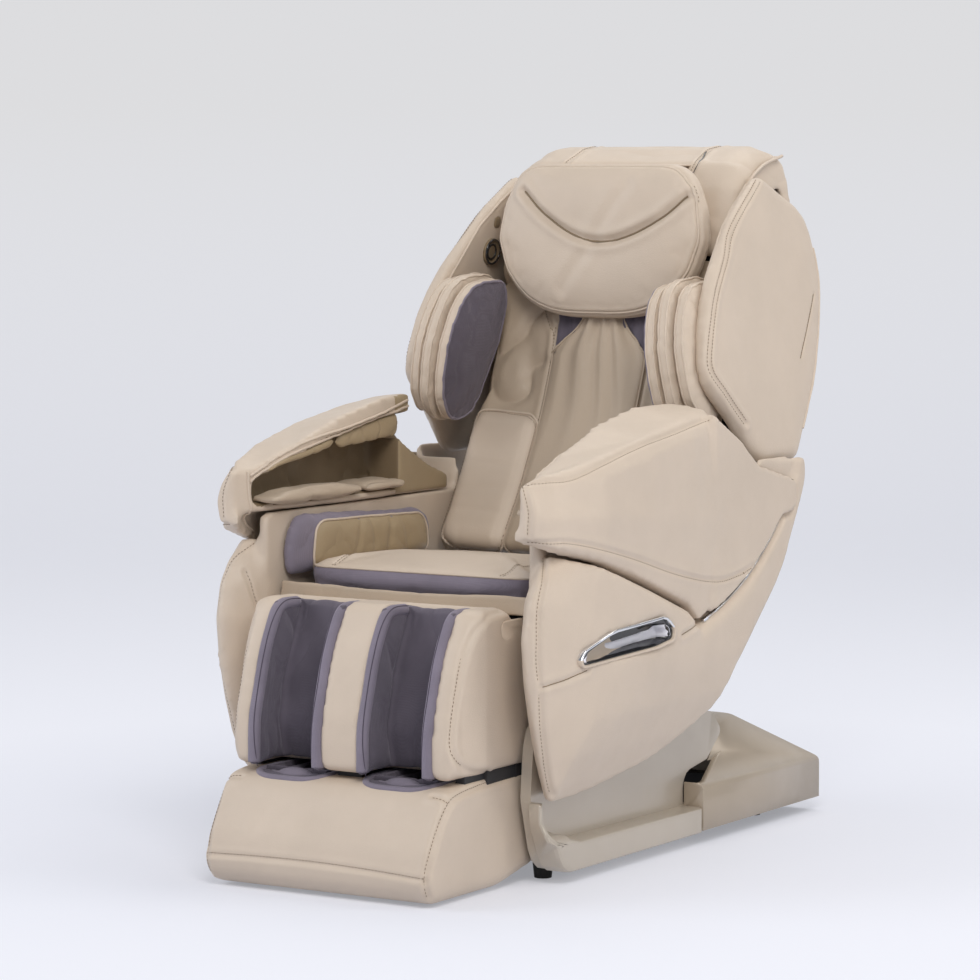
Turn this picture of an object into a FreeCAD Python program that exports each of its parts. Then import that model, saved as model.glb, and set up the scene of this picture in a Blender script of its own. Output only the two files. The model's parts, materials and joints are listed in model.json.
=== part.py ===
import FreeCAD, Part
import math
import os

# Lengths in millimetres, angles in degrees.
# Origin on the floor under the middle of the chair, +Z up, the sitter faces -Y,
# and +X is the sitter's left.

# Widths across X
leg_width = 444.0
foot_width = 456.0
leg_gap = 13.0
base_wall = 20.0
lip_depth = 42.0
panel_gap = 4.0
panel_thickness = 118.0
seat_width = 464.0
back_width = 504.0
wing_gap = 6.0

# Heights and reaches
hood_height = 204.0
wing_lean = 8.7
wing_thickness = 34.0
lean_height = 700.0
base_clearance = 20.0
lip_height = 48.0
rear_cover_height = 180.0
rear_cover_length = 455.0
cover_wall = 5.0
seat_top = 545.0
seat_thickness = 83.0
seat_slope = 0.09
seat_length = 434.0
seat_front = -322.0
pan_front = seat_front + 4.0
hip_pad_thickness = 29.0
arm_shelf_height = 612.0
arm_shelf_thickness = 16.0
arm_wall = 42.0
arm_lid = 22.0

# Pivots across the chair, as Y and Z
tilt_pivot = (120.0, 300.0)
recline_pivot = (170.0, 440.0)
leg_pivot = (-395.0, 440.0)
arm_pivot = (335.0, 618.0)
arm_end_radius = 44.0
pillow_pivot = (366.0, 1213.0)
pin_radius = 10.0
running_gap = 0.05

# The back follows an arc about a point in front of the chest
spine_centre = (-782.0, 1222.0)
spine_radius = 1152.0
back_low_angle = -37.4
back_high_angle = -9.0
cushion_thickness = 55.0
shell_wall = 14.0
rail_depth = 150.0
rail_size = 26.0
rail_width = 22.0
rail_wall = 3.0

# Cross bar under the hood, as the Y of its front and the Z of its top
head_bar_y = 413.0
head_bar_top = 1045.8
hood_low = head_bar_top + 0.2
overall_height = hood_low + hood_height

# Massage carriage on the curved rails
carriage_angle = -30.5
carriage_span = 7.0
tray_depth = rail_depth - 4
motor_radius = 26.0
motor_offset = 54.0
motor_clearance = 10.0
shell_depth = tray_depth + motor_offset + motor_radius + motor_clearance
roller_radius = 27.0
roller_width = 34.0
roller_spread = 58.0
roller_pitch = 3.4
knead_depth = 128.0
roller_depth = 92.0
shaft_radius = 7.0
lumbar_low_angle = -36.6
lumbar_high_angle = -25.2

# Foot slides
slide_radius = 8.0
slide_x = 196.0
slide_y = -346.0

# Transport wheels, as Y and Z of their axle
wheel_axle = (585.0, 28.0)
wheel_radius = 22.0
axle_radius = 5.0
wheel_track = 222.0

# Largest turn taken by one chord of a padded outline
chord_angle = 30.0

# Sheet and tube
plate = 6.0
tube = 36.0
seam_gap = 0.3

# Half widths that follow from the above
leg_half = leg_width / 2
foot_half = foot_width / 2
base_inner = foot_half + leg_gap
base_outer = base_inner + base_wall
lip_half = base_outer + lip_depth
panel_inner = base_outer + panel_gap
panel_outer = panel_inner + panel_thickness
seat_half = seat_width / 2
back_half = back_width / 2
seat_plate = 212.0
back_arm = seat_plate - 3.0
upright = seat_plate + plate + 4.0
wing_outer = panel_outer - 33.0
rear_panel_inner = wing_outer + wing_gap
arm_tail_inner = rear_panel_inner + 10.0
back_shell_half = 300.0


def vec(x, y, z):
    return FreeCAD.Vector(x, y, z)


def on_side(a, b, height):
    # an outline in Y and Z, raised along X
    return vec(height, a, b)


def on_top(a, b, height):
    # an outline in X and Y, raised along Z
    return vec(a, b, height)


def on_front(a, b, height):
    # an outline in X and Z, raised along Y
    return vec(a, height, b)


def rounded_wire(corners, place, height):
    """A closed wire of lines and corner arcs; each corner is two coordinates and a radius."""
    count = len(corners)
    points = [vec(a, b, 0) for a, b, radius in corners]
    edges = []
    cuts = []
    for i in range(count):
        back = points[i - 1] - points[i]
        ahead = points[(i + 1) % count] - points[i]
        turn = math.pi - back.getAngle(ahead)
        limit = 0.45 * min(back.Length, ahead.Length)
        reach = min(corners[i][2] * math.tan(turn / 2), limit)
        start = points[i] + back.normalize() * reach
        end = points[i] + ahead.normalize() * reach
        radius = reach / max(math.tan(turn / 2), 1e-6)
        inward = (back + ahead)
        depth = radius / math.cos(turn / 2) - radius
        middle = points[i] + inward.normalize() * depth if reach > 1e-6 else points[i]
        cuts.append((start, middle, end, reach > 1e-6))
    for i in range(count):
        start, middle, end, is_round = cuts[i]
        following = cuts[(i + 1) % count][0]
        if is_round:
            placed = [place(p.x, p.y, height) for p in (start, middle, end)]
            edges.append(Part.Arc(*placed).toShape())
        edges.append(Part.LineSegment(place(end.x, end.y, height),
                                      place(following.x, following.y, height)).toShape())
    return Part.Wire(edges)


def inset(corners, distance):
    """The same outline moved inward, with each corner's radius following."""
    count = len(corners)
    area = 0.0
    for i in range(count):
        a, b, radius = corners[i]
        c, d, next_radius = corners[(i + 1) % count]
        area += a * d - c * b
    side = 1.0 if area > 0 else -1.0
    moved = []
    for i in range(count):
        before = vec(*corners[i - 1][:2], 0)
        here = vec(*corners[i][:2], 0)
        after = vec(*corners[(i + 1) % count][:2], 0)
        first = (here - before).normalize()
        second = (after - here).normalize()
        first_normal = vec(-first.y, first.x, 0) * side
        second_normal = vec(-second.y, second.x, 0) * side
        bisector = first_normal + second_normal
        scale = 2.0 / max(bisector.dot(bisector), 0.3)
        point = here + bisector * (distance * scale)
        turns_left = first.cross(second).z * side
        radius = corners[i][2] - math.copysign(distance, turns_left)
        moved.append((point.x, point.y, max(radius, 1.0)))
    return moved


def turn_at(corners, i):
    """The two sides that meet at a corner, away from it, and the angle turned there."""
    here = vec(corners[i][0], corners[i][1], 0)
    back = vec(*corners[i - 1][:2], 0) - here
    ahead = vec(*corners[(i + 1) % len(corners)][:2], 0) - here
    return here, back, ahead, math.pi - back.getAngle(ahead)


def chord_counts(corners):
    """How many chords each corner of an outline takes."""
    turns = [turn_at(corners, i)[3] for i in range(len(corners))]
    return [math.ceil(math.degrees(turn) / chord_angle - 0.01) if corner[2] > 0 else 0
            for turn, corner in zip(turns, corners)]


def outline_points(corners, counts):
    """The outline as points, each round corner divided into even chords."""
    points = []
    for i, count in enumerate(counts):
        here, back, ahead, turn = turn_at(corners, i)
        if count == 0:
            points.append(here)
            continue
        limit = 0.45 * min(back.Length, ahead.Length)
        reach = min(corners[i][2] * math.tan(turn / 2), limit)
        radius = reach / math.tan(turn / 2)
        back.normalize()
        axis = back.cross(ahead).normalize()
        start = here + back * reach
        spoke = axis.cross(back) * -radius
        centre = start - spoke
        for k in range(count + 1):
            angle = -turn * k / count
            swung = spoke * math.cos(angle) + axis.cross(spoke) * math.sin(angle)
            points.append(centre + swung)
    return points


def skin(sections):
    """A solid through closed sections of as many points each, with flat or folded quads."""
    faces = [Part.Face(Part.makePolygon(ring + [ring[0]])) for ring in (sections[0], sections[-1])]
    for low, high in zip(sections, sections[1:]):
        for i in range(len(low)):
            k = (i + 1) % len(low)
            a, b, c, d = low[i], low[k], high[k], high[i]
            normal = (b - a).cross(d - a)
            if normal.Length > 1e-9 and abs(normal.normalize().dot(c - a)) < 1e-6:
                faces.append(Part.Face(Part.makePolygon([a, b, c, d, a])))
                continue
            for corner in ((a, b, c), (a, c, d)):
                if (corner[1] - corner[0]).cross(corner[2] - corner[0]).Length > 1e-6:
                    faces.append(Part.Face(Part.makePolygon(list(corner) + [corner[0]])))
    joined = Part.Compound(faces)
    joined.sewShape()
    solid = Part.Solid(Part.Shell(joined.Faces))
    if solid.Volume < 0:
        solid.reverse()
    return solid


def stack(corners, rings, place):
    """A solid through rings of one outline: each is a height, an inset and a scale."""
    counts = chord_counts(corners)
    sections = []
    for height, distance, scale in rings:
        flat = outline_points(inset(corners, distance), counts)
        middle = sum(flat, vec(0, 0, 0)) / len(flat)
        scaled = [middle + (p - middle) * scale for p in flat]
        sections.append([place(p.x, p.y, height) for p in scaled])
    return skin(sections)


def slab(corners, low, high, place):
    face = Part.Face(rounded_wire(corners, place, low))
    return face.extrude(place(0, 0, high) - place(0, 0, low))


def prism(corners, low, high, place):
    """The same as a slab with its corners in even chords."""
    return stack(corners, [(low, 0, 1), (high, 0, 1)], place)


def spun(steps, sides, a, b, place):
    """A round piece in even flats: each step is a height and a radius."""
    turns = [math.tau * i / sides for i in range(sides)]
    rings = [[place(a + radius * math.cos(t), b + radius * math.sin(t), height) for t in turns]
             for height, radius in steps]
    return skin(rings)


def block(low, high):
    size = [b - a for a, b in zip(low, high)]
    return Part.makeBox(size[0], size[1], size[2], vec(*low))


def bar_x(radius, low, high, y, z):
    return Part.makeCylinder(radius, high - low, vec(low, y, z), vec(1, 0, 0))


def mirrored(shape):
    return shape.mirror(vec(0, 0, 0), vec(1, 0, 0))


def both(shape):
    return Part.makeCompound([shape, mirrored(shape)])


def leaned(shape):
    """Leaned inward about a line along Y at the foot of the outer face of the wing."""
    copy = shape.copy()
    copy.rotate(vec(wing_outer, 0, lean_height), vec(0, 1, 0), -wing_lean)
    return copy


def spine(depth, angle):
    """Y and Z of a point behind the spine arc."""
    radius = spine_radius + depth
    turn = math.radians(angle)
    return (spine_centre[0] + radius * math.cos(turn), spine_centre[1] + radius * math.sin(turn))


def spine_ring(near, far, low, high, x, steps):
    """A band between two arcs of the spine at one X, each arc in even chords."""
    angles = [low + (high - low) * i / steps for i in range(steps + 1)]
    front = [vec(x, *spine(near, angle)) for angle in angles]
    rear = [vec(x, *spine(far, angle)) for angle in reversed(angles)]
    return front + rear


def spine_block(near, far, low, high, x_low, x_high, steps=1):
    return skin([spine_ring(near, far, low, high, x, steps) for x in (x_low, x_high)])


def spine_sweep(profile, low, high, steps):
    """A profile of X and depth carried along the spine arc."""
    angles = [low + (high - low) * i / steps for i in range(steps + 1)]
    return skin([[vec(x, *spine(depth, angle)) for x, depth in profile] for angle in angles])


# Seam between the arm and the side panel, as an arc about a Y, Z point
seam_arc_centre = (-108.5, 1025.0)
seam_arc_radius = 617.0
seam_low = seam_arc_centre[1] - seam_arc_radius

# Outlines seen from the side, as Y, Z and corner radius

panel_outline = [
    (-440, 574, 16), (-470, 505, 60), (-472, 430, 200), (-458, 290, 200), (-424, 178, 50),
    (-372, 150, 60), (-253, 156, 120), (-60, 190, 200), (100, 262, 60), (160, 330, 120),
    (321, 474, 200), (394, 586, 120), (432, 648, 40), (424, 684, 14), (250, 690, 20),
    (204, seam_low + 80, 60), (18, seam_low + 4, 0), (-20, seam_low + 38, 0), (-156, 495, 0),
    (-300, 543, 0), (-405, 571, 0),
]

# The side panel seen from above: its nose is narrow and it fills out towards the seat
panel_plan = [
    (264, -380), (276, -420), (290, -447), (303, -460), (312, -462), (328, -444), (346, -405),
    (364, -340), (376, -260), (383, -160), (383, 200), (378, 340), (366, 470), (264, 470),
]

# At each height of the panel: how far its nose steps back, and its outer limit across X
panel_levels = [
    (140, 92, 300), (177, 72, 322), (230, 47, 348), (290, 26, 370), (360, 8, 381),
    (430, 0, 383), (490, 14, 383), (527, 40, 383), (560, 80, 383), (600, 110, 383),
    (720, 110, 383),
]

wing_outline = [
    (436, 1202, 34), (600, 1130, 80), (628, 1010, 160), (592, 905, 200), (549, 815, 160),
    (440, 676, 24), (300, 672, 50), (218, 758, 120), (136, 830, 60), (142, 910, 160), (196, 1010, 180),
    (330, 1136, 160),
]

leg_outline = [
    (-552, 210, 16), (-558, 270, 120), (-522, 398, 180), (-474, 478, 34), (-387, 474, 10),
    (-362, 454, 0), (-322, 438, 14), (-318, 210, 12),
]

foot_outline = [
    (-606, 6, 22), (-634, 34, 30), (-620, 92, 60), (-566, 186, 46), (-500, 192, 60),
    (-306, 192, 12), (-284, 30, 12), (-400, 6, 80),
]


# Base

def base_frame():
    """Welded tube: two rails, three cross members, the tilt uprights and the wheel lugs."""
    low = base_clearance + 8
    outer = base_inner - seam_gap
    half = outer - tube
    wall = 3
    rail = block((half, -270, low), (outer, 560, low + tube))
    hollow = block((half + wall, -271, low + wall), (outer - wall, 561, low + tube - wall))
    parts = [rail.cut(hollow)]
    for y in (300, 470):
        parts.append(block((outer - 1, y, low), (lip_half - cover_wall - seam_gap, y + 30, low + 4)))
    parts += [mirrored(part) for part in parts]
    for y in (-270, 96, 330, 524):
        parts.append(block((-half, y, low), (half, y + tube, low + tube)))
    y, z = tilt_pivot
    outline = [(y - 48, low, 4), (y + 60, low, 4), (y + 24, z + 24, 23), (y - 24, z + 24, 23)]
    ear = prism(outline, upright, upright + plate, on_side)
    pin = bar_x(pin_radius, upright - 7, upright, y, z)
    for shape in (ear, pin):
        parts += [shape, mirrored(shape)]
    return parts[0].multiFuse(parts[1:]).removeSplitter()


# Rear end of the side cover's wall, which stands through the rear cover, as Y, Z and radius
wall_end = [(306, 186, 12), (272, 224, 20)]


def base_side_cover():
    """Moulded side cover: an upright wall and an L-shaped skirt that stands out from it."""
    low = base_clearance
    wall = [
        (-367, 150, 30), (-331, low, 60), (162, low, 0), (162, 126, 30), (250, 140, 0),
    ] + wall_end + [(-60, 292, 60), (-353, 292, 60)]
    skirt = [
        (-371, 146, 8), (-368, 105, 60), (-325, low, 50), (162, low, 0),
        (162, low + lip_height, 0), (-296, low + lip_height + 4, 60), (-359, 146, 3),
    ]
    upright_wall = prism(wall, base_inner, base_outer, on_side)
    rings = [(base_outer - 1, 0, 1), (lip_half - 8, 0, 1), (lip_half - 2, 3, 1), (lip_half, 8, 1)]
    return upright_wall.fuse(stack(skirt, rings, on_side)).removeSplitter()


def rear_cover_shape(shrink):
    """Faceted housing behind the seat, as a side profile crossed with a front profile."""
    low = base_clearance + 6
    top = low + rear_cover_height - shrink
    front = 162.0 + seam_gap + shrink
    rear = front + rear_cover_length - 2 * shrink
    side = [
        (front, low - 1, 0), (front, top - 66, 0), (front + 34, top - 4, 10), (rear - 230, top, 30),
        (rear - 200, top - 6, 30), (rear, low + 74, 18), (rear, low - 1, 0),
    ]
    half = lip_half - shrink
    across = [
        (-half, low - 1, 0), (half, low - 1, 0), (half, low + 74, 12), (half - 88, top, 24),
        (88 - half, top, 24), (-half, low + 74, 12),
    ]
    long_way = prism(side, -half, half, on_side)
    return long_way.common(prism(across, front - 1, rear + 1, on_front))


def rear_cover():
    """Open underneath, with a notch where the side cover runs in and a socket recess behind."""
    shell = rear_cover_shape(0).cut(rear_cover_shape(cover_wall).translated(vec(0, 0, -cover_wall)))
    slot = [(150, 60, 0), (250, 136, 0)] + [(y + 2, z + 3, 0) for y, z, radius in wall_end]
    slot += [(150, 300, 0)]
    notch = [(150, 110, 0), (182, 110, 0), (306, 150, 0), (330, 240, 0), (150, 240, 0)]
    for outline, near, far in ((slot, base_inner - 1.3, base_outer + 1.3),
                               (notch, base_outer + 1, lip_half + 10)):
        cut = prism(outline, near, far, on_side)
        shell = shell.cut(cut).cut(mirrored(cut))
    low = base_clearance + 6
    socket = block((120, 600, low + 12), (196, 640, low + 60))
    shell = shell.cut(socket)
    open_front = block((-base_inner, 150, low - 10), (base_inner, 175, low + 150))
    return shell.cut(open_front)


def power_inlet():
    """Appliance inlet: flange, shroud and three blades."""
    low = base_clearance + 6
    body = block((120.2, 592, low + 12.2), (195.8, 618, low + 59.8))
    mouth = block((128, 602, low + 22), (156, 620, low + 44))
    body = body.cut(mouth)
    switch_hole = block((164, 600, low + 20), (188, 620, low + 52))
    body = body.cut(switch_hole)
    blades = [block((x, 600, low + 29), (x + 2, 614, low + 37)) for x in (133, 141, 149)]
    return body.multiFuse(blades)


def power_switch():
    """Rocker that turns on its middle line."""
    low = base_clearance + 6
    z = low + 36
    outline = [(609, z - 14.5, 0), (619, z - 13, 0), (616, z, 0), (621, z + 13, 0),
               (609, z + 14.5, 0)]
    return prism(outline, 164.6, 187.4, on_side)


def rubber_feet():
    """Four round pads under the rails."""
    low = base_clearance + 8
    x = base_inner - seam_gap - tube / 2
    return Part.makeCompound([spun([(0, 15), (low, 18)], 12, side * x, y, on_top)
                              for y in (-262, 500) for side in (1, -1)])


def wheel_brackets():
    """Two plates behind the rear cross member that carry the wheel axle."""
    low = base_clearance + 8
    y, z = wheel_axle
    outline = [(y - 12, z - 10, 10), (y + 12, z - 10, 10), (y + 12, z + 14, 10),
               (560, low + 34, 0), (560, low + 2, 0)]
    x = wheel_track - 16
    fork = prism(outline, x, x + 3, on_side)
    fork = fork.cut(bar_x(axle_radius + running_gap, x - 1, x + 4, y, z))
    return both(fork)


def transport_wheels():
    """Two wheels pressed on one axle."""
    y, z = wheel_axle
    axle = bar_x(axle_radius, -wheel_track, wheel_track, y, z)
    wheels = []
    for x in (-wheel_track, wheel_track):
        steps = [(x - 11, wheel_radius - 3), (x - 8, wheel_radius), (x + 8, wheel_radius),
                 (x + 11, wheel_radius - 3)]
        wheels.append(spun(steps, 18, y, z, on_side))
    return axle.multiFuse(wheels)


def control_box():
    """Electronics box on the base rails, with cooling fins on its lid."""
    low = base_clearance + 8 + tube
    box = block((-150, 336, low), (60, 532, low + 54))
    fins = [block((20 * i - 140, 352, low + 53), (20 * i - 134, 516, low + 62)) for i in range(10)]
    return box.multiFuse(fins)


def air_pump():
    """Compressor: two round heads joined by a motor block."""
    low = base_clearance + 8 + tube
    y = 108
    heads = [spun([(x, 38), (x + 8, 44), (x + 46, 44)], 14, y + 5, low + 50, on_side)
             for x in (-140, 60)]
    motor = block((-96, y - 34, low + 12), (62, y + 44, low + 88))
    foot = block((-130, y - 12, low), (96, y + 24, low + 14))
    return heads[0].multiFuse([heads[1], motor, foot])


# Seat

def seat_frame():
    """Side plates with the pivots, cross tubes, the seat pan and the leg rest brackets."""
    y_back, z_back = recline_pivot
    y_tilt, z_tilt = tilt_pivot
    y_leg, z_leg = leg_pivot
    pan_top = seat_top - seat_thickness - seam_gap
    outline = [
        (-308, z_leg - 60, 0), (-308, pan_top - 2, 0), (y_back - 44, pan_top - 2, 0),
        (y_back + 26, z_back + 24, 24), (y_back + 26, z_back - 26, 24),
        (y_tilt + 30, z_tilt - 26, 24), (y_tilt - 26, z_tilt - 26, 24),
        (y_tilt - 60, z_leg - 70, 60),
    ]
    side = prism(outline, seat_plate, seat_plate + plate, on_side)
    window = block((seat_plate - 1, -250, z_leg - 44), (seat_plate + plate + 1, 20, z_leg - 14))
    side = side.cut(window)
    side = side.cut(bar_x(pin_radius + running_gap, seat_plate - 1, seat_plate + plate + 1,
                          y_tilt, z_tilt))
    shapes = [side]
    shapes.append(bar_x(pin_radius, back_arm - plate, seat_plate, y_back, z_back))
    bracket = [
        (y_leg - 16, z_leg - 15, 14), (y_leg - 16, z_leg + 14, 14), (-284, z_leg + 14, 0),
        (-284, z_leg - 50, 0), (-306, z_leg - 50, 0),
    ]
    inner = leg_half + 3.5
    shapes.append(prism(bracket, inner, inner + plate, on_side))
    shapes.append(bar_x(pin_radius, leg_half - 12, inner, y_leg, z_leg))
    shapes += [mirrored(shape) for shape in shapes]
    half = tube / 2 - 3
    for y in (-296, 40):
        shapes.append(block((-panel_inner, y - half, z_leg - 32 - half),
                            (panel_inner, y + half, z_leg - 32 + half)))
    shapes.append(block((-seat_plate, pan_front, pan_top - 5), (seat_plate, y_back - 74, pan_top)))
    for y in (-200, -60):
        shapes.append(block((-seat_plate, y, pan_top - 17), (seat_plate, y + 14, pan_top - 4)))
    return shapes[0].multiFuse(shapes[1:]).removeSplitter()


def seat_cushion():
    """Crowned pad, higher in front, with a drawn-in band between its two seams."""
    rear = seat_front + seat_length
    outline = [
        (-seat_half, seat_front, 46), (seat_half, seat_front, 46),
        (seat_half, rear, 26), (-seat_half, rear, 26),
    ]
    low = seat_top - seat_thickness

    def sloped(x, y, z):
        drop = seat_slope * (y - seat_front) * (z - low) / seat_thickness
        return vec(x, y, z - drop)

    rings = [(low, 10, 1), (low + 5, 1, 1), (low + 22, 5, 1), (low + 38, 0, 1), (low + 54, 3, 1),
             (low + 68, 22, 1), (low + 78, 56, 1), (seat_top, 56, 0.6)]
    return stack(outline, rings, sloped)


def seat_flap():
    """Leather strip that hangs from the front edge of the seat pan over the leg rest."""
    pan_top = seat_top - seat_thickness - seam_gap
    face = seat_front - 31
    outline = [
        (pan_front - seam_gap, pan_top - 5, 0), (pan_front - seam_gap, pan_top, 0),
        (face + 7, pan_top, 2), (face + 9, pan_top + 38, 6), (face + 2, pan_top + 40, 3),
        (face, pan_top - 5, 4),
    ]
    half = panel_inner - 8
    return slab(outline, -half, half, on_side)


def seam_arc(radius, first, last, chords):
    """Points along the seam under the arm, as Y and Z."""
    y, z = seam_arc_centre
    turns = [math.radians(first + (last - first) * i / chords) for i in range(chords + 1)]
    return [(y + radius * math.cos(t), z + radius * math.sin(t)) for t in turns]


def seam_band(near, far, first, last, x_low, x_high):
    strip = seam_arc(near, first, last, 10) + seam_arc(far, last, first, 10)
    return skin([[on_side(a, b, x) for a, b in strip] for x in (x_low, x_high)])


def arm_tail_outline(grow, lowest):
    """Flat rear part of the arm: seam arc below, round about its pivot at the end."""
    lower = seam_arc(seam_arc_radius + grow, -74, -46, 6)
    y, z = arm_pivot
    reach = arm_end_radius + grow
    turns = [math.radians(lowest + (44 - lowest) * i / 5) for i in range(6)]
    end = [(y + reach * math.cos(t), z + reach * math.sin(t)) for t in turns]
    upper = [(232 + grow, 680 + grow), (158 + grow, 732 + grow), (60, 782 + grow)]
    return [(a, b, 0) for a, b in lower + end + upper]


def panel_section(z, setback, limit):
    """The plan of the panel at one height."""
    ring = []
    for x, y in panel_plan:
        share = min(1.0, max(0.0, -(y + 160) / 302))
        ring.append(vec(min(x, limit), y + setback * share, z))
    return ring


def side_shell():
    """Upholstered side: full in the middle, narrow at the nose, thin where the back passes."""
    rings = [
        (panel_inner, 6, 1), (panel_inner + 8, 0, 1), (panel_outer - 26, 0, 1),
        (panel_outer - 12, 4, 1), (panel_outer - 4, 12, 1), (panel_outer, 24, 1),
    ]
    shell = stack(panel_outline, rings, on_side)
    shell = shell.common(skin([panel_section(*level) for level in panel_levels]))
    shell = shell.cut(block((panel_inner - 1, 250, 100), (rear_panel_inner, 560, 720)))
    pocket = rear_panel_inner + 8
    shell = shell.cut(prism(arm_tail_outline(2, -62), pocket, panel_outer + 5, on_side))
    shell = shell.cut(seam_band(seam_arc_radius, seam_arc_radius + 8.5, -78, -46,
                                pocket, panel_outer + 5))
    y, z = arm_pivot
    above = [(60, 760, 0), (y + 60, 760, 0), (y + 60, z + 34, 0), (y, z, 0), (60, 500, 0)]
    shell = shell.cut(prism(above, pocket, panel_outer + 5, on_side))
    pin = bar_x(pin_radius, pocket - 1, arm_tail_inner + 8, y, z)
    top = arm_shelf_height - 3
    inner_wall = [
        (-384, 500, 20), (-384, top, 16), (246, top, 10), (246, 420, 10), (-200, 420, 20),
    ]
    wall = prism(inner_wall, panel_inner, panel_inner + 18, on_side)
    return shell.multiFuse([pin, wall]).removeSplitter()


def side_trim():
    """Bright strip in the seam between the arm and the side panel."""
    low = rear_panel_inner + 8 + seam_gap
    return seam_band(seam_arc_radius + 2.6, seam_arc_radius + 7.6, -76.5, -47, low, low + 7)


grip_outline = [
    (-372, 378, 12), (-368, 408, 40), (-290, 436, 90), (-120, 446, 40), (-66, 402, 16),
    (-150, 391, 60),
]

# Width of the bright frame that stays in view round the recess
bezel_width = 5


def grip_bezel():
    """Bright frame round the recess in the side panel."""
    ring = prism(grip_outline, panel_outer - 12, panel_outer + 3, on_side)
    opening = prism(inset(grip_outline, bezel_width), panel_outer - 13, panel_outer + 4, on_side)
    return ring.cut(opening)


def grip_insert():
    """Dark bowl inside the bright frame."""
    rim = inset(grip_outline, bezel_width + 0.2)
    bowl = prism(rim, panel_outer - 38, panel_outer - 2, on_side)
    rings = [(panel_outer - 32, 0, 0.6), (panel_outer - 22, 0, 0.84), (panel_outer - 1, 0, 0.92)]
    return bowl.cut(stack(rim, rings, on_side))


def side_panel():
    """Side shell with the recess that the grip sits in."""
    shell = side_shell()
    hole = prism(inset(grip_outline, -seam_gap), panel_outer - 12 - seam_gap, panel_outer + 5, on_side)
    deep = prism(inset(grip_outline, bezel_width), panel_outer - 38, panel_outer, on_side)
    return shell.cut(hole).cut(deep)


hip_pad_top = arm_shelf_height - 7
hip_pad_outline = [
    (-334, 497, 20), (-343, hip_pad_top - 49, 60), (-314, hip_pad_top, 50),
    (-200, hip_pad_top, 80), (70, hip_pad_top - 15, 40), (116, hip_pad_top - 33, 34),
    (118, 502, 24),
]


def hip_pad():
    """Air pad on the inner wall of the side panel, beside the sitter's hip."""
    face = panel_inner - seam_gap
    rings = [(face, 8, 1), (face - 5, 0, 1), (face - 14, 0, 1), (face - 22, 8, 1),
             (face - 27, 8, 0.82), (face - hip_pad_thickness, 8, 0.5)]
    return stack(hip_pad_outline, rings, on_side)


# Arms

# Across the arm at each station: Y, inner edge x and z, outer edge x and z, lower edge x and z
arm_stations = [
    (-452, 290, 680, 306, 676, 318, 592), (-405, 277, 688, 327, 690, 344, 572),
    (-300, 266, 722, 360, 711, 372, 544), (-156, 258, 768, 374, 740, 379, 496),
    (-20, 258, 794, 375, 762, 381, seam_low + 39), (18, 263, 795, 370, 767, 380, seam_low + 8),
    (84, 272, 796, 360, 776, 378, seam_low + 32),
]

# Top of the lining that closes the arm behind the elbow, as Y and Z
elbow_line = [(40, 716), (84, 690), (140, 662), (206, 640)]


def arm_section(station):
    """Outer boundary of the arm at one Y: lid, outer wall and the step under the shelf."""
    y, x_in, z_in, x_out, z_out, x_low, z_low = station
    wall_in = x_low - arm_wall
    shelf = min(arm_shelf_height, z_in - 30)
    points = [
        (x_in, z_in - arm_lid), (x_in, z_in), (x_out - 16, z_out + 12), (x_out + 5, z_out - 16),
        (x_low + 2, (z_out + z_low) / 2), (x_low - 6, z_low + 8), (wall_in, z_low + 3),
        (wall_in, shelf), (x_in - 2, shelf),
    ]
    return [on_front(x, z, y) for x, z in points]


def arm_shell():
    """Armrest shell, open towards the sitter, with the flat tail that reaches its pivot."""
    body = skin([arm_section(station) for station in arm_stations])
    channel = []
    for y, x_in, z_in, x_out, z_out, x_low, z_low in arm_stations[1:]:
        low = arm_shelf_height + arm_shelf_thickness
        points = [
            (x_in - 40, low), (x_low - arm_wall, low), (x_low - arm_wall, z_out - arm_lid - 4),
            (x_in - 40, z_in - arm_lid + 2),
        ]
        rear = y + 60 if y > 60 else y
        channel.append([on_front(x, z, rear) for x, z in points])
    body = body.cut(skin(channel))
    inner = arm_stations[-1][1] - 8
    outer = arm_tail_inner + 1
    elbow = skin([[on_front(x, z, y) for x, z in
                   ((inner, arm_shelf_height), (inner, top), (outer, top), (outer, arm_shelf_height))]
                  for y, top in elbow_line])
    body = body.fuse(elbow)
    outer = panel_outer - 5
    rings = [(arm_tail_inner, 0, 1), (outer - 5, 0, 1), (outer, 3, 1)]
    body = body.fuse(stack(arm_tail_outline(0, -44), rings, on_side))
    y, z = arm_pivot
    return body.cut(bar_x(pin_radius + running_gap, arm_tail_inner - 1, arm_tail_inner + 9, y, z))


def arm_airbags():
    """Padded flaps above and below the forearm."""
    pads = []
    low = arm_shelf_height + arm_shelf_thickness + seam_gap
    for start, end, outer in ((-392, -104, 296), (-96, 36, 327)):
        outline = [(panel_inner - 28, start, 20), (outer, start, 8), (outer, end, 8),
                   (panel_inner - 28, end, 20)]
        rings = [(low, 6, 1), (low + 5, 0, 1), (low + 12, 4, 1), (low + 17, 4, 0.7)]
        pads.append(stack(outline, rings, on_top))
    return Part.makeCompound(pads)


# Back

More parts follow.
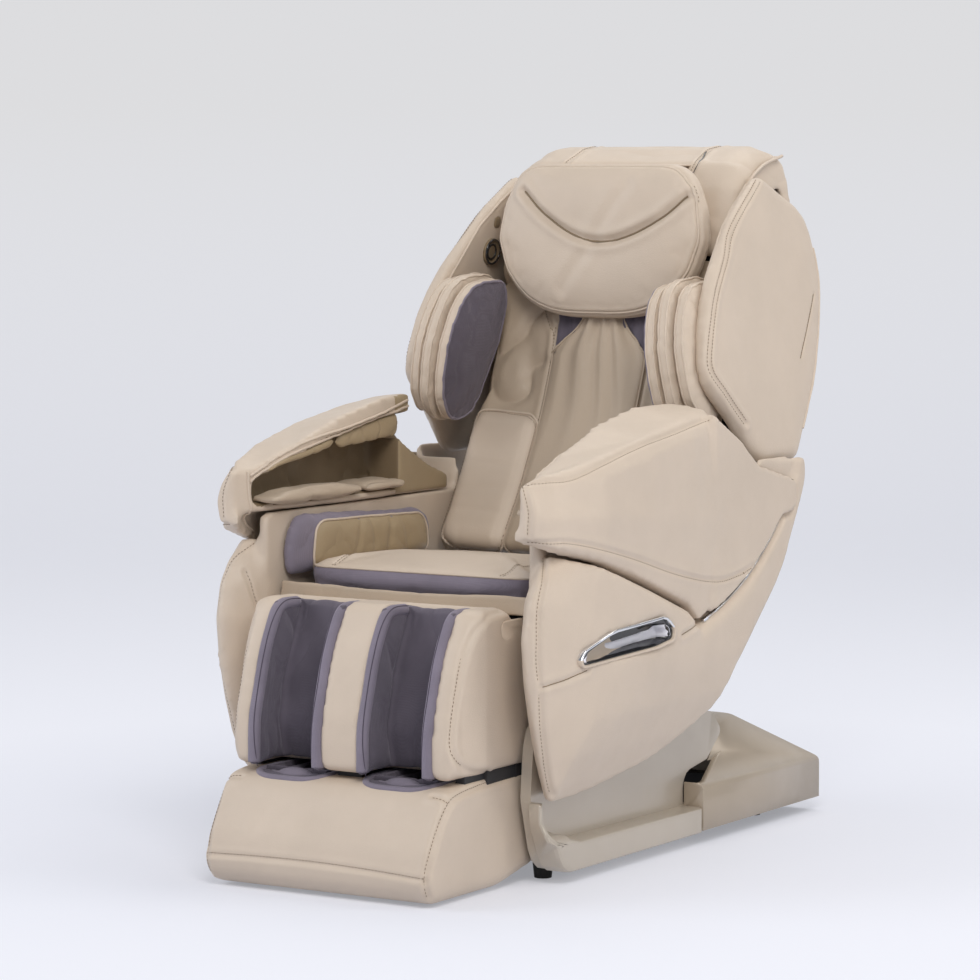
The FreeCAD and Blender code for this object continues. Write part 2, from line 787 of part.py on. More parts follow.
def back_frame():
    """Curved C rails, cross members, cushion and wing brackets, and the recline arms."""
    edge = back_arm - rail_width
    far = rail_depth + rail_size
    profile = [
        (edge, rail_depth), (back_arm, rail_depth), (back_arm, far), (edge, far),
        (edge, far - rail_wall), (back_arm - rail_wall, far - rail_wall),
        (back_arm - rail_wall, rail_depth + rail_wall), (edge, rail_depth + rail_wall),
    ]
    shapes = [spine_sweep(profile, back_low_angle, back_high_angle, 12)]
    y, z = recline_pivot
    corner = spine(rail_depth + 4, back_low_angle + 1.5)
    heel = spine(far - 4, back_low_angle)
    ear = [(y - 22, z - 24, 22), (y - 22, z + 22, 22), (corner[0], corner[1] + 40, 0),
           (heel[0] + 6, heel[1] + 20, 0), (heel[0], heel[1], 0)]
    shapes.append(prism(ear, back_arm - plate, back_arm, on_side))
    for angle in (-33, -24, -15):
        shapes.append(spine_block(cushion_thickness + seam_gap, rail_depth + 1, angle - 0.6,
                                  angle + 0.6, back_arm - plate, back_arm))
    for angle in (-26, -18, -11):
        shapes.append(spine_block(far - 1, shell_depth - 0.8, angle - 0.4, angle + 0.4,
                                  edge, edge + plate))
    inner_face = wing_outer - wing_thickness
    for y_low, z_low in ((432, 780), (480, 936)):
        bracket = leaned(block((edge, y_low, z_low), (inner_face, y_low + 26, z_low + 34)))
        shapes.append(bracket.cut(block((0, y_low - 1, z_low - 90), (back_arm - 2, 600, 1100))))
    head = block((edge, head_bar_y, head_bar_top - 34), (back_arm - 3, 508, head_bar_top - 16))
    shapes.append(head)
    shapes += [mirrored(shape) for shape in shapes]
    for angle in (back_low_angle + 1.2, back_high_angle - 1.0):
        shapes.append(spine_block(rail_depth + 2, far - 2, angle - 0.45, angle + 0.45,
                                  -edge - 2, edge + 2))
    shapes.append(block((3 - back_arm, head_bar_y, head_bar_top - 34),
                        (back_arm - 3, head_bar_y + 11, head_bar_top)))
    body = shapes[0].multiFuse(shapes[1:])
    return body.cut(bar_x(pin_radius + running_gap, -back_arm - 5, back_arm + 5, y, z))


def back_cushion():
    """Long pad that follows the spine arc, crowned and drawn in at its sides."""
    sections = []
    for x, sink, trim in ((-back_half, 36, 0.5), (8 - back_half, 12, 0.1), (20 - back_half, 0, 0),
                          (back_half - 20, 0, 0), (back_half - 8, 12, 0.1), (back_half, 36, 0.5)):
        sections.append(spine_ring(sink, cushion_thickness, back_low_angle + trim,
                                   back_high_angle - trim, x, 8))
    return skin(sections)


def lumbar_pads():
    """Piped pad on the lower back, one each side of the centre column."""
    sections = []
    for x, front, trim in ((100, -5, 1.0), (106, -12, 0.2), (124, -17, 0), (220, -17, 0),
                           (236, -12, 0.3), (245, -5, 1.6)):
        sections.append(spine_ring(front, 4, lumbar_low_angle + trim,
                                   lumbar_high_angle - trim, x, 5))
    return both(skin(sections).cut(back_cushion()))


def back_shell():
    """Rear shell: a curved sheet with turned-in edges, narrower at the top, and air slots."""
    outer = []
    inner = []
    for angle in (-33.4, -26, -18, -11, -6.4):
        half = min(back_shell_half, hood_edge(spine(shell_depth, angle)[1]) - 4)
        for rings, depth, wall in ((outer, shell_depth + shell_wall, 0), (inner, shell_depth, 1)):
            side = half - shell_wall * wall
            flat = [(-side, shell_depth - 52 - wall), (-side, depth - 26), (26 - side, depth),
                    (side - 26, depth), (side, depth - 26), (side, shell_depth - 52 - wall)]
            turn = angle + (0.5 * wall if angle < -30 else -0.5 * wall if angle > -7 else 0)
            rings.append([vec(x, *spine(d, turn)) for x, d in flat])
    shell = skin(outer).cut(skin(inner))
    for i in range(7):
        angle = -27 + 1.1 * i
        slot = spine_block(shell_depth - 8, shell_depth + shell_wall + 2, angle, angle + 0.4,
                           -90, 90)
        shell = shell.cut(slot)
    return shell


def back_wing():
    """Upholstered side of the back, leaning inward towards the top."""
    inner = wing_outer - wing_thickness
    rings = [(inner, 8, 1), (inner + 5, 0, 1), (wing_outer - 20, 0, 1), (wing_outer - 10, 5, 1),
             (wing_outer - 3, 6, 0.95), (wing_outer, 6, 0.78)]
    return leaned(stack(wing_outline, rings, on_side))


def hood_edge(z):
    """Half width of the hood at a height, beside the leaning wing."""
    lean = math.radians(wing_lean)
    inner = wing_outer - wing_thickness / math.cos(lean)
    return inner - (z - lean_height) * math.tan(lean) - 2


def back_top():
    """Padded hood over the top of the back, with its free edge behind."""
    sections = []
    for inward, drop in ((0, 30), (12, 12), (36, 3)):
        top = overall_height - drop
        outline = [
            (354 + drop, hood_low), (362 + drop, hood_low + 54), (386 + drop, hood_low + 120),
            (428, top - 30),
            (486, top - 6), (534, top), (588, top - 12), (606 - drop / 3, top - 40),
            (604 - drop / 3, hood_low + 44), (580, hood_low + 44), (566, top - 60),
            (500, top - 74), (446, hood_low + 84), (424, hood_low),
        ]
        sections.append([vec(hood_edge(z) - inward, y, z) for y, z in outline])
    opposite = [[vec(-p.x, p.y, p.z) for p in ring] for ring in reversed(sections)]
    return skin(sections + opposite)


def shoulder_airbags():
    """Three stacked pads on the inner face of the wing, beside the shoulder."""
    outline = [(118, 800, 60), (104, 900, 160), (156, 1016, 90), (300, 1026, 60), (306, 930, 120),
               (236, 770, 60), (160, 752, 60)]
    pads = []
    x = wing_outer - wing_thickness - seam_gap
    for thick, shrink in ((28, 4), (28, -6), (30, 0)):
        rings = [(x, shrink, 0.85), (x - 5, shrink, 0.98), (x - thick + 5, shrink, 0.98),
                 (x - thick + 0.4, shrink, 0.8)]
        pads.append(leaned(stack(outline, rings, on_side)))
        x -= thick
    return Part.makeCompound(pads)


def speaker():
    """Round speaker with a raised ring, on the wing beside the pillow."""
    face = wing_outer - wing_thickness
    steps = [(face, 26), (face - 5, 25), (face - 7, 22), (face - 3, 18)]
    return leaned(spun(steps, 18, 352, 1058, on_side))


def pillow():
    """Head pillow: wide at eye height, narrower below, crowned front."""
    outline = [(-178, 268, 60), (-240, 124, 130), (-150, -12, 130), (150, -12, 130),
               (240, 124, 130), (178, 268, 60)]
    rings = [(0, 0, 0.88), (-8, 0, 0.98), (-26, 0, 1), (-44, 0, 0.965), (-58, 0, 0.86),
             (-66, 0, 0.6)]
    pad = stack(outline, rings, on_front)
    pad.rotate(vec(0, 0, 0), vec(1, 0, 0), -6)
    return pad.translated(vec(0, 336, 944))


def pillow_strap():
    """Leather strip from the hood to the upper edge of the pillow."""
    y, z = pillow_pivot
    strip = block((-130, y + 1, z - 4), (130, y + 80, z))
    return strip.cut(back_top())


# Massage carriage

def at_carriage(depth, angle):
    return spine(depth, carriage_angle + angle)


def massage_carriage():
    """Pressed tray with bearing cheeks for the kneading shaft."""
    half = carriage_span / 2
    low = carriage_angle - half
    high = carriage_angle + half
    tray = spine_block(tray_depth, tray_depth + 22, low, high, -150, 150, 3)
    inner = spine_block(tray_depth - 1, tray_depth + 18, low + 0.25, high - 0.25, -146, 146, 3)
    body = tray.cut(inner)
    cheeks = []
    for side in (1, -1):
        cheeks.append(spine_block(knead_depth - 16, tray_depth + 19, carriage_angle - 0.9,
                                  carriage_angle + 0.9, side * 30 - 5, side * 30 + 5))
    y, z = at_carriage(knead_depth, 0)
    body = body.multiFuse(cheeks)
    return body.cut(bar_x(shaft_radius + running_gap, -120, 120, y, z))


def kneading_shaft():
    y, z = at_carriage(knead_depth, 0)
    return bar_x(shaft_radius, -100, 100, y, z)


def carriage_guide_rollers():
    """Four rollers on stub axles that run inside the curved rails."""
    shapes = []
    outer = back_arm - rail_wall - 1
    for angle in (-2.9, 2.9):
        y, z = at_carriage(rail_depth + rail_size / 2, angle)
        steps = [(150, 4), (outer - 15, 4), (outer - 15, 9), (outer, 9)]
        roller = spun(steps, 10, y, z, on_side)
        shapes += [roller, mirrored(roller)]
    return Part.makeCompound(shapes)


def massage_motor():
    """Motor with a neck at each end, on a foot behind the tray."""
    y, z = at_carriage(tray_depth + motor_offset, 0)
    steps = [(-84, 12), (-60, 12), (-60, motor_radius), (60, motor_radius), (60, 12), (84, 12)]
    foot = spine_block(tray_depth + 22, tray_depth + motor_offset - 4, carriage_angle - 0.8, carriage_angle + 0.8,
                       -40, 40)
    return foot.fuse(spun(steps, 14, y, z, on_side))


def roller_arm(x):
    """Boomerang lever on the kneading shaft, with an axle at each tip."""
    y, z = at_carriage(knead_depth, 0)
    shapes = [spun([(x - 8, 16), (x + 8, 16)], 16, y, z, on_side)]
    for angle in (-roller_pitch, roller_pitch):
        tip = at_carriage(roller_depth, angle)
        start = vec(x - 5, y, z)
        along = (vec(x - 5, *tip) - start).normalize()
        across = vec(1, 0, 0).cross(along) * 9
        end = vec(x - 5, *tip) + along * 9
        corners = [start - across, start + across, end + across, end - across]
        face = Part.Face(Part.makePolygon(corners + [corners[0]]))
        shapes.append(face.extrude(vec(10, 0, 0)))
        shapes.append(bar_x(axle_radius, x - 5, x + 5 + roller_width, *tip))
    body = shapes[0].multiFuse(shapes[1:]).removeSplitter()
    return body.cut(bar_x(shaft_radius + running_gap, x - 20, x + 20, y, z))


def massage_roller(x, angle):
    """Rubber roller with chamfered rims and a true bore."""
    y, z = at_carriage(roller_depth, angle)
    start = x + 5.4
    end = start + roller_width - 1
    steps = [(start, roller_radius - 5), (start + 5, roller_radius), (end - 5, roller_radius),
             (end, roller_radius - 5)]
    body = spun(steps, 14, y, z, on_side)
    return body.cut(bar_x(axle_radius + running_gap, start - 1, end + 1, y, z))


# Leg rest

leg_channel_low = 38.0
leg_channel_high = 182.0
leg_channel_floor = [(-452, 190), (-462, 270), (-446, 350), (-414, 432), (-392, 500)]


def leg_body():
    """Full outline of the leg rest with rounded sides."""
    side = leg_half
    rings = [
        (-side, 22, 1), (6 - side, 8, 1), (16 - side, 0, 1), (side - 16, 0, 1), (side - 6, 8, 1),
        (side, 22, 1),
    ]
    return stack(leg_outline, rings, on_side)


def leg_channel(low, high, sink):
    """Room for one calf: from its floor out past the front."""
    floor = [(y + sink, z, 40) for y, z in leg_channel_floor]
    outline = [(-640, 190, 0)] + floor + [(-640, 560, 0)]
    return prism(outline, low, high, on_side)


def leg_rest():
    """Leg rest with two calf channels, sleeves for the foot slides and pivot bores."""
    body = leg_body()
    channel = leg_channel(leg_channel_low, leg_channel_high, 0)
    body = body.cut(channel).cut(mirrored(channel))
    y, z = leg_pivot
    for side in (1, -1):
        hole = bar_x(pin_radius + running_gap, leg_half - 14, leg_half + 1, y, z)
        sleeve = Part.makeCylinder(slide_radius + running_gap, 170, vec(slide_x, slide_y, 200))
        for cut in (hole, sleeve):
            body = body.cut(cut if side > 0 else mirrored(cut))
    return body


def leg_liner():
    """Fabric air pad that lines one calf channel, with its edges standing proud."""
    thick = 13
    gap = seam_gap
    outer = prism(inset(leg_outline, -4), leg_channel_low + gap, leg_channel_high - gap, on_side)
    outer = outer.common(leg_channel(leg_channel_low + gap, leg_channel_high - gap, -gap))
    inner = leg_channel(leg_channel_low + thick, leg_channel_high - thick, -thick)
    limit = block((0, -700, 214), (400, -300, 474))
    return outer.cut(inner).common(limit)


# Foot rest

foot_well_low = 46.0
foot_well_high = 176.0
foot_well_outline = [
    (-522, 220, 0), (-520, 170, 20), (-572, 132, 40), (-598, 96, 20), (-594, 66, 16),
    (-400, 54, 40), (-372, 110, 40), (-368, 220, 0),
]


def foot_rest():
    """Foot shell with a well for each foot."""
    side = foot_half
    rings = [(-side, 20, 1), (5 - side, 8, 1), (14 - side, 0, 1), (side - 14, 0, 1),
             (side - 5, 8, 1), (side, 20, 1)]
    body = stack(foot_outline, rings, on_side)
    well = prism(foot_well_outline, foot_well_low, foot_well_high, on_side)
    return body.cut(well).cut(mirrored(well))


def foot_liner():
    """Padded sole and walls of one foot well."""
    gap = seam_gap
    outer = prism(inset(foot_well_outline, gap), foot_well_low + gap, foot_well_high - gap, on_side)
    inner = prism(inset(foot_well_outline, 12), foot_well_low + 12, foot_well_high - 12, on_side)
    above = block((0, -700, 196), (400, -300, 400))
    inner_top = block((foot_well_low + 12, -508, 150), (foot_well_high - 12, -384, 230))
    return outer.cut(inner).cut(inner_top).cut(above)


def foot_slides():
    """Two rods that run up into the leg rest."""
    foot_top = 192
    rod = Part.makeCylinder(slide_radius, 140, vec(slide_x, slide_y, foot_top))
    return both(rod)


def make_pieces():
    single = (
        base_frame, rear_cover, power_inlet, power_switch, rubber_feet, wheel_brackets,
        transport_wheels, control_box, air_pump, seat_frame, seat_cushion, seat_flap, back_frame,
        back_cushion, lumbar_pads, back_shell, back_top, pillow, pillow_strap, massage_carriage,
        kneading_shaft, carriage_guide_rollers, massage_motor, leg_rest, foot_rest, foot_slides,
    )
    handed = (
        base_side_cover, side_panel, side_trim, grip_bezel, grip_insert, hip_pad, arm_shell,
        arm_airbags, back_wing, shoulder_airbags, speaker, leg_liner, foot_liner,
    )
    pieces = {make.__name__: make() for make in single}
    lefts = {make.__name__: make() for make in handed}
    lefts["roller_arm"] = roller_arm(roller_spread)
    for word, angle in (("upper", roller_pitch), ("lower", -roller_pitch)):
        lefts["massage_roller_" + word] = massage_roller(roller_spread, angle)
    for name, left in lefts.items():
        pieces[name + "_left"] = left
        pieces[name + "_right"] = mirrored(left)
    return pieces


if __name__ == "__main__":
    os.makedirs("parts", exist_ok=True)
    for name, shape in make_pieces().items():
        shape.exportStep(os.path.join("parts", name + ".step"))
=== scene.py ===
import json
import math

import bmesh
import bpy
import numpy as np
from mathutils import Matrix, Vector, geometry, noise
from mathutils.bvhtree import BVHTree
from mathutils.kdtree import KDTree


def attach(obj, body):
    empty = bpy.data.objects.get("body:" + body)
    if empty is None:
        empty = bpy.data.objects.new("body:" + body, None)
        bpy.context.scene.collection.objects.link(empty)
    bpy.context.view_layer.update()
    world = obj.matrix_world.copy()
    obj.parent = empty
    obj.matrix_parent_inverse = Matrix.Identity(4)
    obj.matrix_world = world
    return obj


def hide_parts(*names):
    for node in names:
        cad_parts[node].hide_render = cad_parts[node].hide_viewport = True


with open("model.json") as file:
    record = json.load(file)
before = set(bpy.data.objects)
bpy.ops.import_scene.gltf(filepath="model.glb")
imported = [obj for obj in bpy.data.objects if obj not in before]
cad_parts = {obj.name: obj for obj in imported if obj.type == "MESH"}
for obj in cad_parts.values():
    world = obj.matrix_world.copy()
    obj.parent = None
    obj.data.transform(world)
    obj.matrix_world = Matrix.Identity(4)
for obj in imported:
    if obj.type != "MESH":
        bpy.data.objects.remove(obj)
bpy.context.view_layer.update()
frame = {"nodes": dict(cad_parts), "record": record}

nodes = frame["nodes"]
body_of_node = {n: b for b, ns in frame["record"]["behaviour"]["bodies"].items() for n in ns}
slot_of_node = {p["node"]: p["material_slot"] for p in frame["record"]["subparts"]}
scene = bpy.context.scene
scene.view_settings.view_transform = "Standard"

# Paths, outlines, widths and depths are in mm, and meshes are in metres.
mm = 0.001
HANDS = (("left", 1), ("right", -1))
CAMERA_AT = (3.6377, -5.9634, 1.2216)
CAMERA_AZIMUTH = math.radians(31.7)
CAMERA_DOWN = math.radians(4.8)
LENS = 144.6
OUTSIDE = 1.5            # metres from a surface at which rays towards it start
WELD = 1e-5
STITCH = 4.2
STITCH_GAP = 2.4
THREAD_RADIUS = 0.55
AIR_FRAMES = 20
PIN_REACH = 6
FLOOR_SIDE = 14          # metres from the middle of the floor to its sides
FLOOR_BEND = 3           # radius in metres of the paper's curve behind the chair
SHRINK, SWELL = 0.5, -0.52


def linked(name, data):
    obj = bpy.data.objects.new(name, data)
    scene.collection.objects.link(obj)
    return obj


# Materials

class Nodes:
    """Short names for making the nodes of one material."""

    def __init__(self, name):
        self.material = bpy.data.materials.new(name)
        self.material.use_nodes = True
        self.tree = self.material.node_tree
        self.shader = self.tree.nodes["Principled BSDF"]
        self.place = self.new("TexCoord").outputs["Object"]
        self.normal = None

    def put(self, socket, value):
        """Sets an input, or links it where the value is another node's output."""
        if isinstance(value, bpy.types.NodeSocket):
            self.tree.links.new(value, socket)
        else:
            socket.default_value = value

    def fill(self, node, **values):
        """Puts values into inputs, whose names have _ for each space."""
        for key, value in values.items():
            self.put(node.inputs[key.replace("_", " ")], value)

    def new(self, kind, **values):
        node = self.tree.nodes.new("ShaderNode" + kind)
        self.fill(node, **values)
        return node

    def set(self, **values):
        self.fill(self.shader, **values)

    def noise(self, scale, detail=3.0, rough=0.55, at=None):
        return self.new("TexNoise", Scale=scale, Detail=detail, Roughness=rough,
                        Vector=at or self.place).outputs["Fac"]

    def cells(self, scale, feature="F1"):
        node = self.new("TexVoronoi")
        node.feature = feature
        self.fill(node, Scale=scale, Vector=self.place)
        return node.outputs["Distance"]

    def bands(self, scale, direction):
        node = self.new("TexWave", Scale=scale, Distortion=0.4, Detail=1.0, Vector=self.place)
        node.bands_direction = direction
        return node.outputs["Fac"]

    def maths(self, operation, a, b):
        node = self.new("Math")
        node.operation = operation
        self.put(node.inputs[0], a)
        self.put(node.inputs[1], b)
        return node.outputs[0]

    def ranged(self, value, low, high, from_low=0.0, from_high=1.0):
        return self.new("MapRange", Value=value, From_Min=from_low, From_Max=from_high,
                        To_Min=low, To_Max=high).outputs[0]

    def mixed(self, factor, first, second, blend="MIX"):
        node = self.new("Mix")
        node.data_type = "RGBA"
        node.blend_type = blend
        for k, value in ((0, factor), (6, first), (7, second)):
            self.put(node.inputs[k], value)
        return node.outputs[2]

    def darker(self, colour, factor, amount):
        return self.mixed(factor, colour, (amount, amount, amount, 1), "MULTIPLY")

    def bump(self, value, distance, strength):
        """Adds a layer of height to those before it."""
        node = self.new("Bump", Distance=distance, Strength=strength, Height=value)
        if self.normal:
            self.put(node.inputs["Normal"], self.normal)
        self.normal = node.outputs[0]
        self.set(Normal=self.normal)


def linear(r, g, b):
    return tuple((c / 12.92 if c <= 0.04045 else ((c + 0.055) / 1.055) ** 2.4) for c in (r, g, b))


def scaled(colour, by):
    return (*(min(1.0, c * by) for c in colour), 1)


def leather(name, colour, grain=1.0, low=0.40, high=0.56):
    """Grained upholstery leather: pores, fine creases and slight mottling."""
    m = Nodes(name)
    m.set(Specular_IOR_Level=0.42, Sheen_Weight=0.06, Sheen_Roughness=0.5)
    pores = m.cells(560)
    creases = m.cells(230, "DISTANCE_TO_EDGE")
    tone = m.mixed(m.ranged(m.noise(7, 4, 0.6), 0, 1, 0.3, 0.72), scaled(colour, 0.955),
                   scaled(colour, 1.03))
    m.set(Base_Color=m.darker(tone, m.ranged(pores, 0.35, 0, 0.0, 0.3), 0.9),
          Roughness=m.ranged(m.noise(38, 4, 0.6), low, high, 0.25, 0.75))
    m.bump(m.noise(95, 3, 0.6), 0.0007 * grain, 0.3)
    m.bump(m.ranged(creases, 0, 1, 0.0, 0.12), 0.00022 * grain, 0.5)
    m.bump(m.ranged(pores, 0, 1, 0.0, 0.5), 0.00016 * grain, 0.5)
    return m.material


def fabric(name, colour, pitch=1.4):
    """Close-woven fabric with crossing threads."""
    m = Nodes(name)
    m.set(Specular_IOR_Level=0.25, Sheen_Weight=0.45, Sheen_Roughness=0.4,
          Sheen_Tint=(0.75, 0.7, 0.8, 1))
    across, along_it, deep = (m.bands(500 / pitch, way) for way in "XZY")
    weave = m.maths("MULTIPLY", m.maths("ADD", across, deep), along_it)
    tone = m.mixed(m.ranged(m.noise(12, 4), 0, 1, 0.3, 0.7), scaled(colour, 0.88),
                   scaled(colour, 1.12))
    m.set(Base_Color=m.darker(tone, m.ranged(weave, 0.5, 0, 0.0, 1.2), 0.72),
          Roughness=m.ranged(m.noise(60, 2), 0.62, 0.8, 0.3, 0.7))
    m.bump(m.noise(60, 3), 0.001, 0.25)
    m.bump(weave, 0.00035, 0.55)
    return m.material


def moulded(name, colour, metallic=0.0, low=0.3, high=0.42, coat=0.0, grain=0.3, scale=900):
    """Moulded or coated surface with a fine even grain."""
    m = Nodes(name)
    m.set(Metallic=metallic, Coat_Weight=coat, Coat_Roughness=0.12,
          Base_Color=m.mixed(m.ranged(m.noise(5, 3), 0, 1, 0.3, 0.7), scaled(colour, 0.95),
                             scaled(colour, 1.04)),
          Roughness=m.ranged(m.noise(25, 4), low, high, 0.3, 0.7))
    m.bump(m.noise(scale, 2), 0.0002, grain)
    return m.material


def brushed(name, colour):
    """Ground metal with fine marks along one way."""
    m = Nodes(name)
    lengthwise = m.new("Mapping", Scale=(0.06, 1, 1), Vector=m.place).outputs[0]
    marks = m.noise(900, 3, 0.6, lengthwise)
    m.set(Metallic=1.0, Base_Color=m.mixed(marks, scaled(colour, 0.92), scaled(colour, 1.04)),
          Roughness=m.ranged(marks, 0.22, 0.38))
    m.bump(marks, 0.00008, 0.3)
    return m.material


def chrome(name):
    m = Nodes(name)
    haze = m.noise(14, 4)
    m.set(Metallic=1.0, Coat_Weight=0.3, Coat_Roughness=0.03,
          Base_Color=m.mixed(haze, (0.72, 0.73, 0.76, 1), (0.80, 0.81, 0.83, 1)),
          Roughness=m.ranged(haze, 0.05, 0.12, 0.3, 0.7))
    m.bump(m.noise(30, 2), 0.0004, 0.06)
    return m.material


def make_materials():
    return {
        "paper": floor_paper(),
        "leather": leather("leather_beige", linear(0.815, 0.752, 0.683)),
        # A darker copy of the beige leather; on the seat flap it is painted shade.
        "leather_dark": leather("leather_darker", linear(0.735, 0.668, 0.590), 1.5, 0.36, 0.52),
        "leather_warm": leather("leather_warm", linear(0.65, 0.575, 0.46), 1.2),
        # Darker brown leather: painted shade in the arm's hollow and in the dark lines sunk into
        # creases and slits; it is also the colour of the wing's cap and the speaker cone.
        "lining_and_shade": leather("leather_lining_and_shade", linear(0.52, 0.45, 0.355), 1.2),
        "fabric": fabric("fabric_purple", linear(0.400, 0.375, 0.420)),
        "fabric_light": fabric("fabric_lilac", linear(0.535, 0.505, 0.560), 1.8),
        "thread": leather("thread_beige", linear(0.50, 0.42, 0.34), 0.5, 0.6, 0.8),
        "thread_dark": leather("thread_purple", linear(0.28, 0.25, 0.31), 0.5, 0.6, 0.8),
        "cover": moulded("cover_champagne", linear(0.75, 0.71, 0.655), 0.25, 0.3, 0.42, 0.25),
        # A darker copy of the cover plastic: painted shade on the rear cover.
        "cover_rear_shaded": moulded("cover_rear_shaded_champagne", linear(0.70, 0.645, 0.575), 0.25, 0.3, 0.42,
                              0.25),
        "bright": chrome("bright_trim"),
        # Near-white coated plastic: a painted highlight band on the grip insert.
        "satin": moulded("grip_painted_highlight", (0.88, 0.87, 0.93), 0, 0.15, 0.3, 0.5, 0.05),
        "dark": moulded("dark_gloss", (0.012, 0.012, 0.014), 0, 0.1, 0.2, 0.6, 0.05),
        "frame": moulded("frame_powder", (0.014, 0.014, 0.016), 0, 0.5, 0.65, 0, 0.6, 500),
        "steel": brushed("steel_ground", (0.56, 0.57, 0.59)),
        "housing": moulded("housing_matt", (0.03, 0.03, 0.033), 0, 0.6, 0.75, 0, 0.5, 700),
        "cast": moulded("cast_aluminium", (0.42, 0.43, 0.45), 0.9, 0.45, 0.6, 0, 0.6, 260),
        "rubber": moulded("rubber_black", (0.012, 0.012, 0.012), 0, 0.7, 0.85, 0, 0.6, 400),
    }


# Camera, lights and floor

def place_camera():
    back = Vector((math.sin(CAMERA_AZIMUTH) * math.cos(CAMERA_DOWN),
                   -math.cos(CAMERA_AZIMUTH) * math.cos(CAMERA_DOWN), math.sin(CAMERA_DOWN)))
    right = Vector((math.cos(CAMERA_AZIMUTH), math.sin(CAMERA_AZIMUTH), 0))
    data = bpy.data.cameras.new("view")
    data.lens = LENS
    data.sensor_width = 36
    data.clip_end = 60
    camera = linked("view", data)
    turn = Matrix((right, back.cross(right), back)).transposed().to_4x4()
    camera.matrix_world = Matrix.Translation(CAMERA_AT) @ turn
    scene.camera = camera


def area_light(name, place, aim, size, power, colour):
    data = bpy.data.lights.new(name, "AREA")
    data.shape = "RECTANGLE"
    data.size, data.size_y = size
    data.energy = power
    data.color = colour
    lamp = linked(name, data)
    lamp.location = place
    lamp.rotation_euler = (Vector(aim) - Vector(place)).to_track_quat("-Z", "Y").to_euler()


def light_the_room():
    world = bpy.data.worlds.new("room")
    scene.world = world
    world.use_nodes = True
    tree = world.node_tree
    back = tree.nodes["Background"]
    back.inputs["Color"].default_value = (0.86, 0.88, 0.93, 1)
    path = tree.nodes.new("ShaderNodeLightPath")
    power = tree.nodes.new("ShaderNodeMapRange")
    power.inputs["To Min"].default_value = 0.34
    power.inputs["To Max"].default_value = 0.84
    tree.links.new(path.outputs["Is Camera Ray"], power.inputs["Value"])
    tree.links.new(power.outputs[0], back.inputs["Strength"])
    area_light("key", (2.6, -3.4, 3.9), (0, 0, 0.6), (2.6, 2.2), 142, (1.0, 0.97, 0.93))
    area_light("fill", (-3.6, -2.6, 2.6), (0, 0, 0.5), (2.8, 2.4), 74, (0.94, 0.96, 1.0))
    area_light("top", (0.2, 1.6, 3.6), (0, 0.2, 0.6), (3.0, 2.0), 42, (1.0, 0.99, 0.97))
    area_light("side", (3.6, 1.0, 1.9), (0, 0, 0.6), (1.6, 2.2), 34, (1.0, 0.98, 0.95))


def floor_paper():
    """Paper that glows where it is seen, less so near the chair, and lights nothing."""
    m = Nodes("floor_paper")
    m.set(Base_Color=(0.80, 0.82, 0.90, 1), Roughness=0.9, Specular_IOR_Level=0.1)
    height = m.new("SeparateXYZ", Vector=m.place).outputs["Z"]
    ramp = m.new("ValToRGB")
    m.put(ramp.inputs[0], m.ranged(height, 0, 1, 0.0, 4.0))
    ramp.color_ramp.elements[0].color = (0.93, 0.94, 1.0, 1)
    ramp.color_ramp.elements[1].color = (0.715, 0.715, 0.73, 1)
    ramp.color_ramp.elements.new(0.35).color = (0.735, 0.735, 0.75, 1)
    glow = m.new("Emission", Color=ramp.outputs[0])
    reach = m.new("VectorMath")
    reach.operation = "LENGTH"
    m.put(reach.inputs[0], m.place)
    ray = m.new("LightPath").outputs
    seen = m.maths("MAXIMUM", m.maths("MAXIMUM", ray["Is Camera Ray"], ray["Is Glossy Ray"]),
                   ray["Is Transmission Ray"])
    strength = m.maths("MULTIPLY", m.ranged(height, 0.62, 0.97, 0.05, 1.4),
                       m.ranged(reach.outputs["Value"], 0.5, 1.0, 0.75, 1.7))
    mix = m.new("MixShader")
    for socket, value in zip(mix.inputs, (m.maths("MULTIPLY", seen, strength),
                                          m.shader.outputs[0], glow.outputs[0])):
        m.put(socket, value)
    m.put(m.tree.nodes["Material Output"].inputs[0], mix.outputs[0])
    return m.material


def lay_floor():
    """A sheet of paper under the chair that curves up behind it."""
    turns = [math.radians(a) for a in range(0, 91, 6)]
    curve = [(5 + FLOOR_BEND * math.sin(a), FLOOR_BEND - FLOOR_BEND * math.cos(a)) for a in turns]
    profile = [(-9, 0), *curve, (8, 9)]
    verts = [(x, y, z) for y, z in profile for x in (-FLOOR_SIDE, FLOOR_SIDE)]
    floor = new_object("floor", verts, skin(len(profile), 2, around=False), "paper")
    floor.rotation_euler = (0, 0, CAMERA_AZIMUTH)


# Reading and changing meshes

def new_object(name, verts, faces, material, smooth=True):
    mesh = bpy.data.meshes.new(name)
    mesh.from_pydata([tuple(v) for v in verts], [], [tuple(f) for f in faces])
    mesh.update()
    mesh.materials.append(MAT[material])
    if smooth:
        mesh.shade_smooth()
    return linked(name, mesh)


def reworked(obj, change):
    """Changes a mesh through bmesh."""
    bm = bmesh.new()
    bm.from_mesh(obj.data)
    change(bm)
    bm.to_mesh(obj.data)
    bm.free()
    obj.data.update()
    return obj


def facing_out(bm):
    bmesh.ops.recalc_face_normals(bm, faces=bm.faces)


def applied(obj):
    """The object with its modifiers worked in and none left."""
    depsgraph = bpy.context.evaluated_depsgraph_get()
    depsgraph.update()
    mesh = bpy.data.meshes.new_from_object(obj.evaluated_get(depsgraph))
    obj.modifiers.clear()
    old = obj.data
    obj.data = mesh
    mesh.name = old.name
    bpy.data.meshes.remove(old)
    return obj


def modified(obj, kind, **settings):
    modifier = obj.modifiers.new(kind.lower(), kind)
    for key, value in settings.items():
        setattr(modifier, key, value)
    return applied(obj)


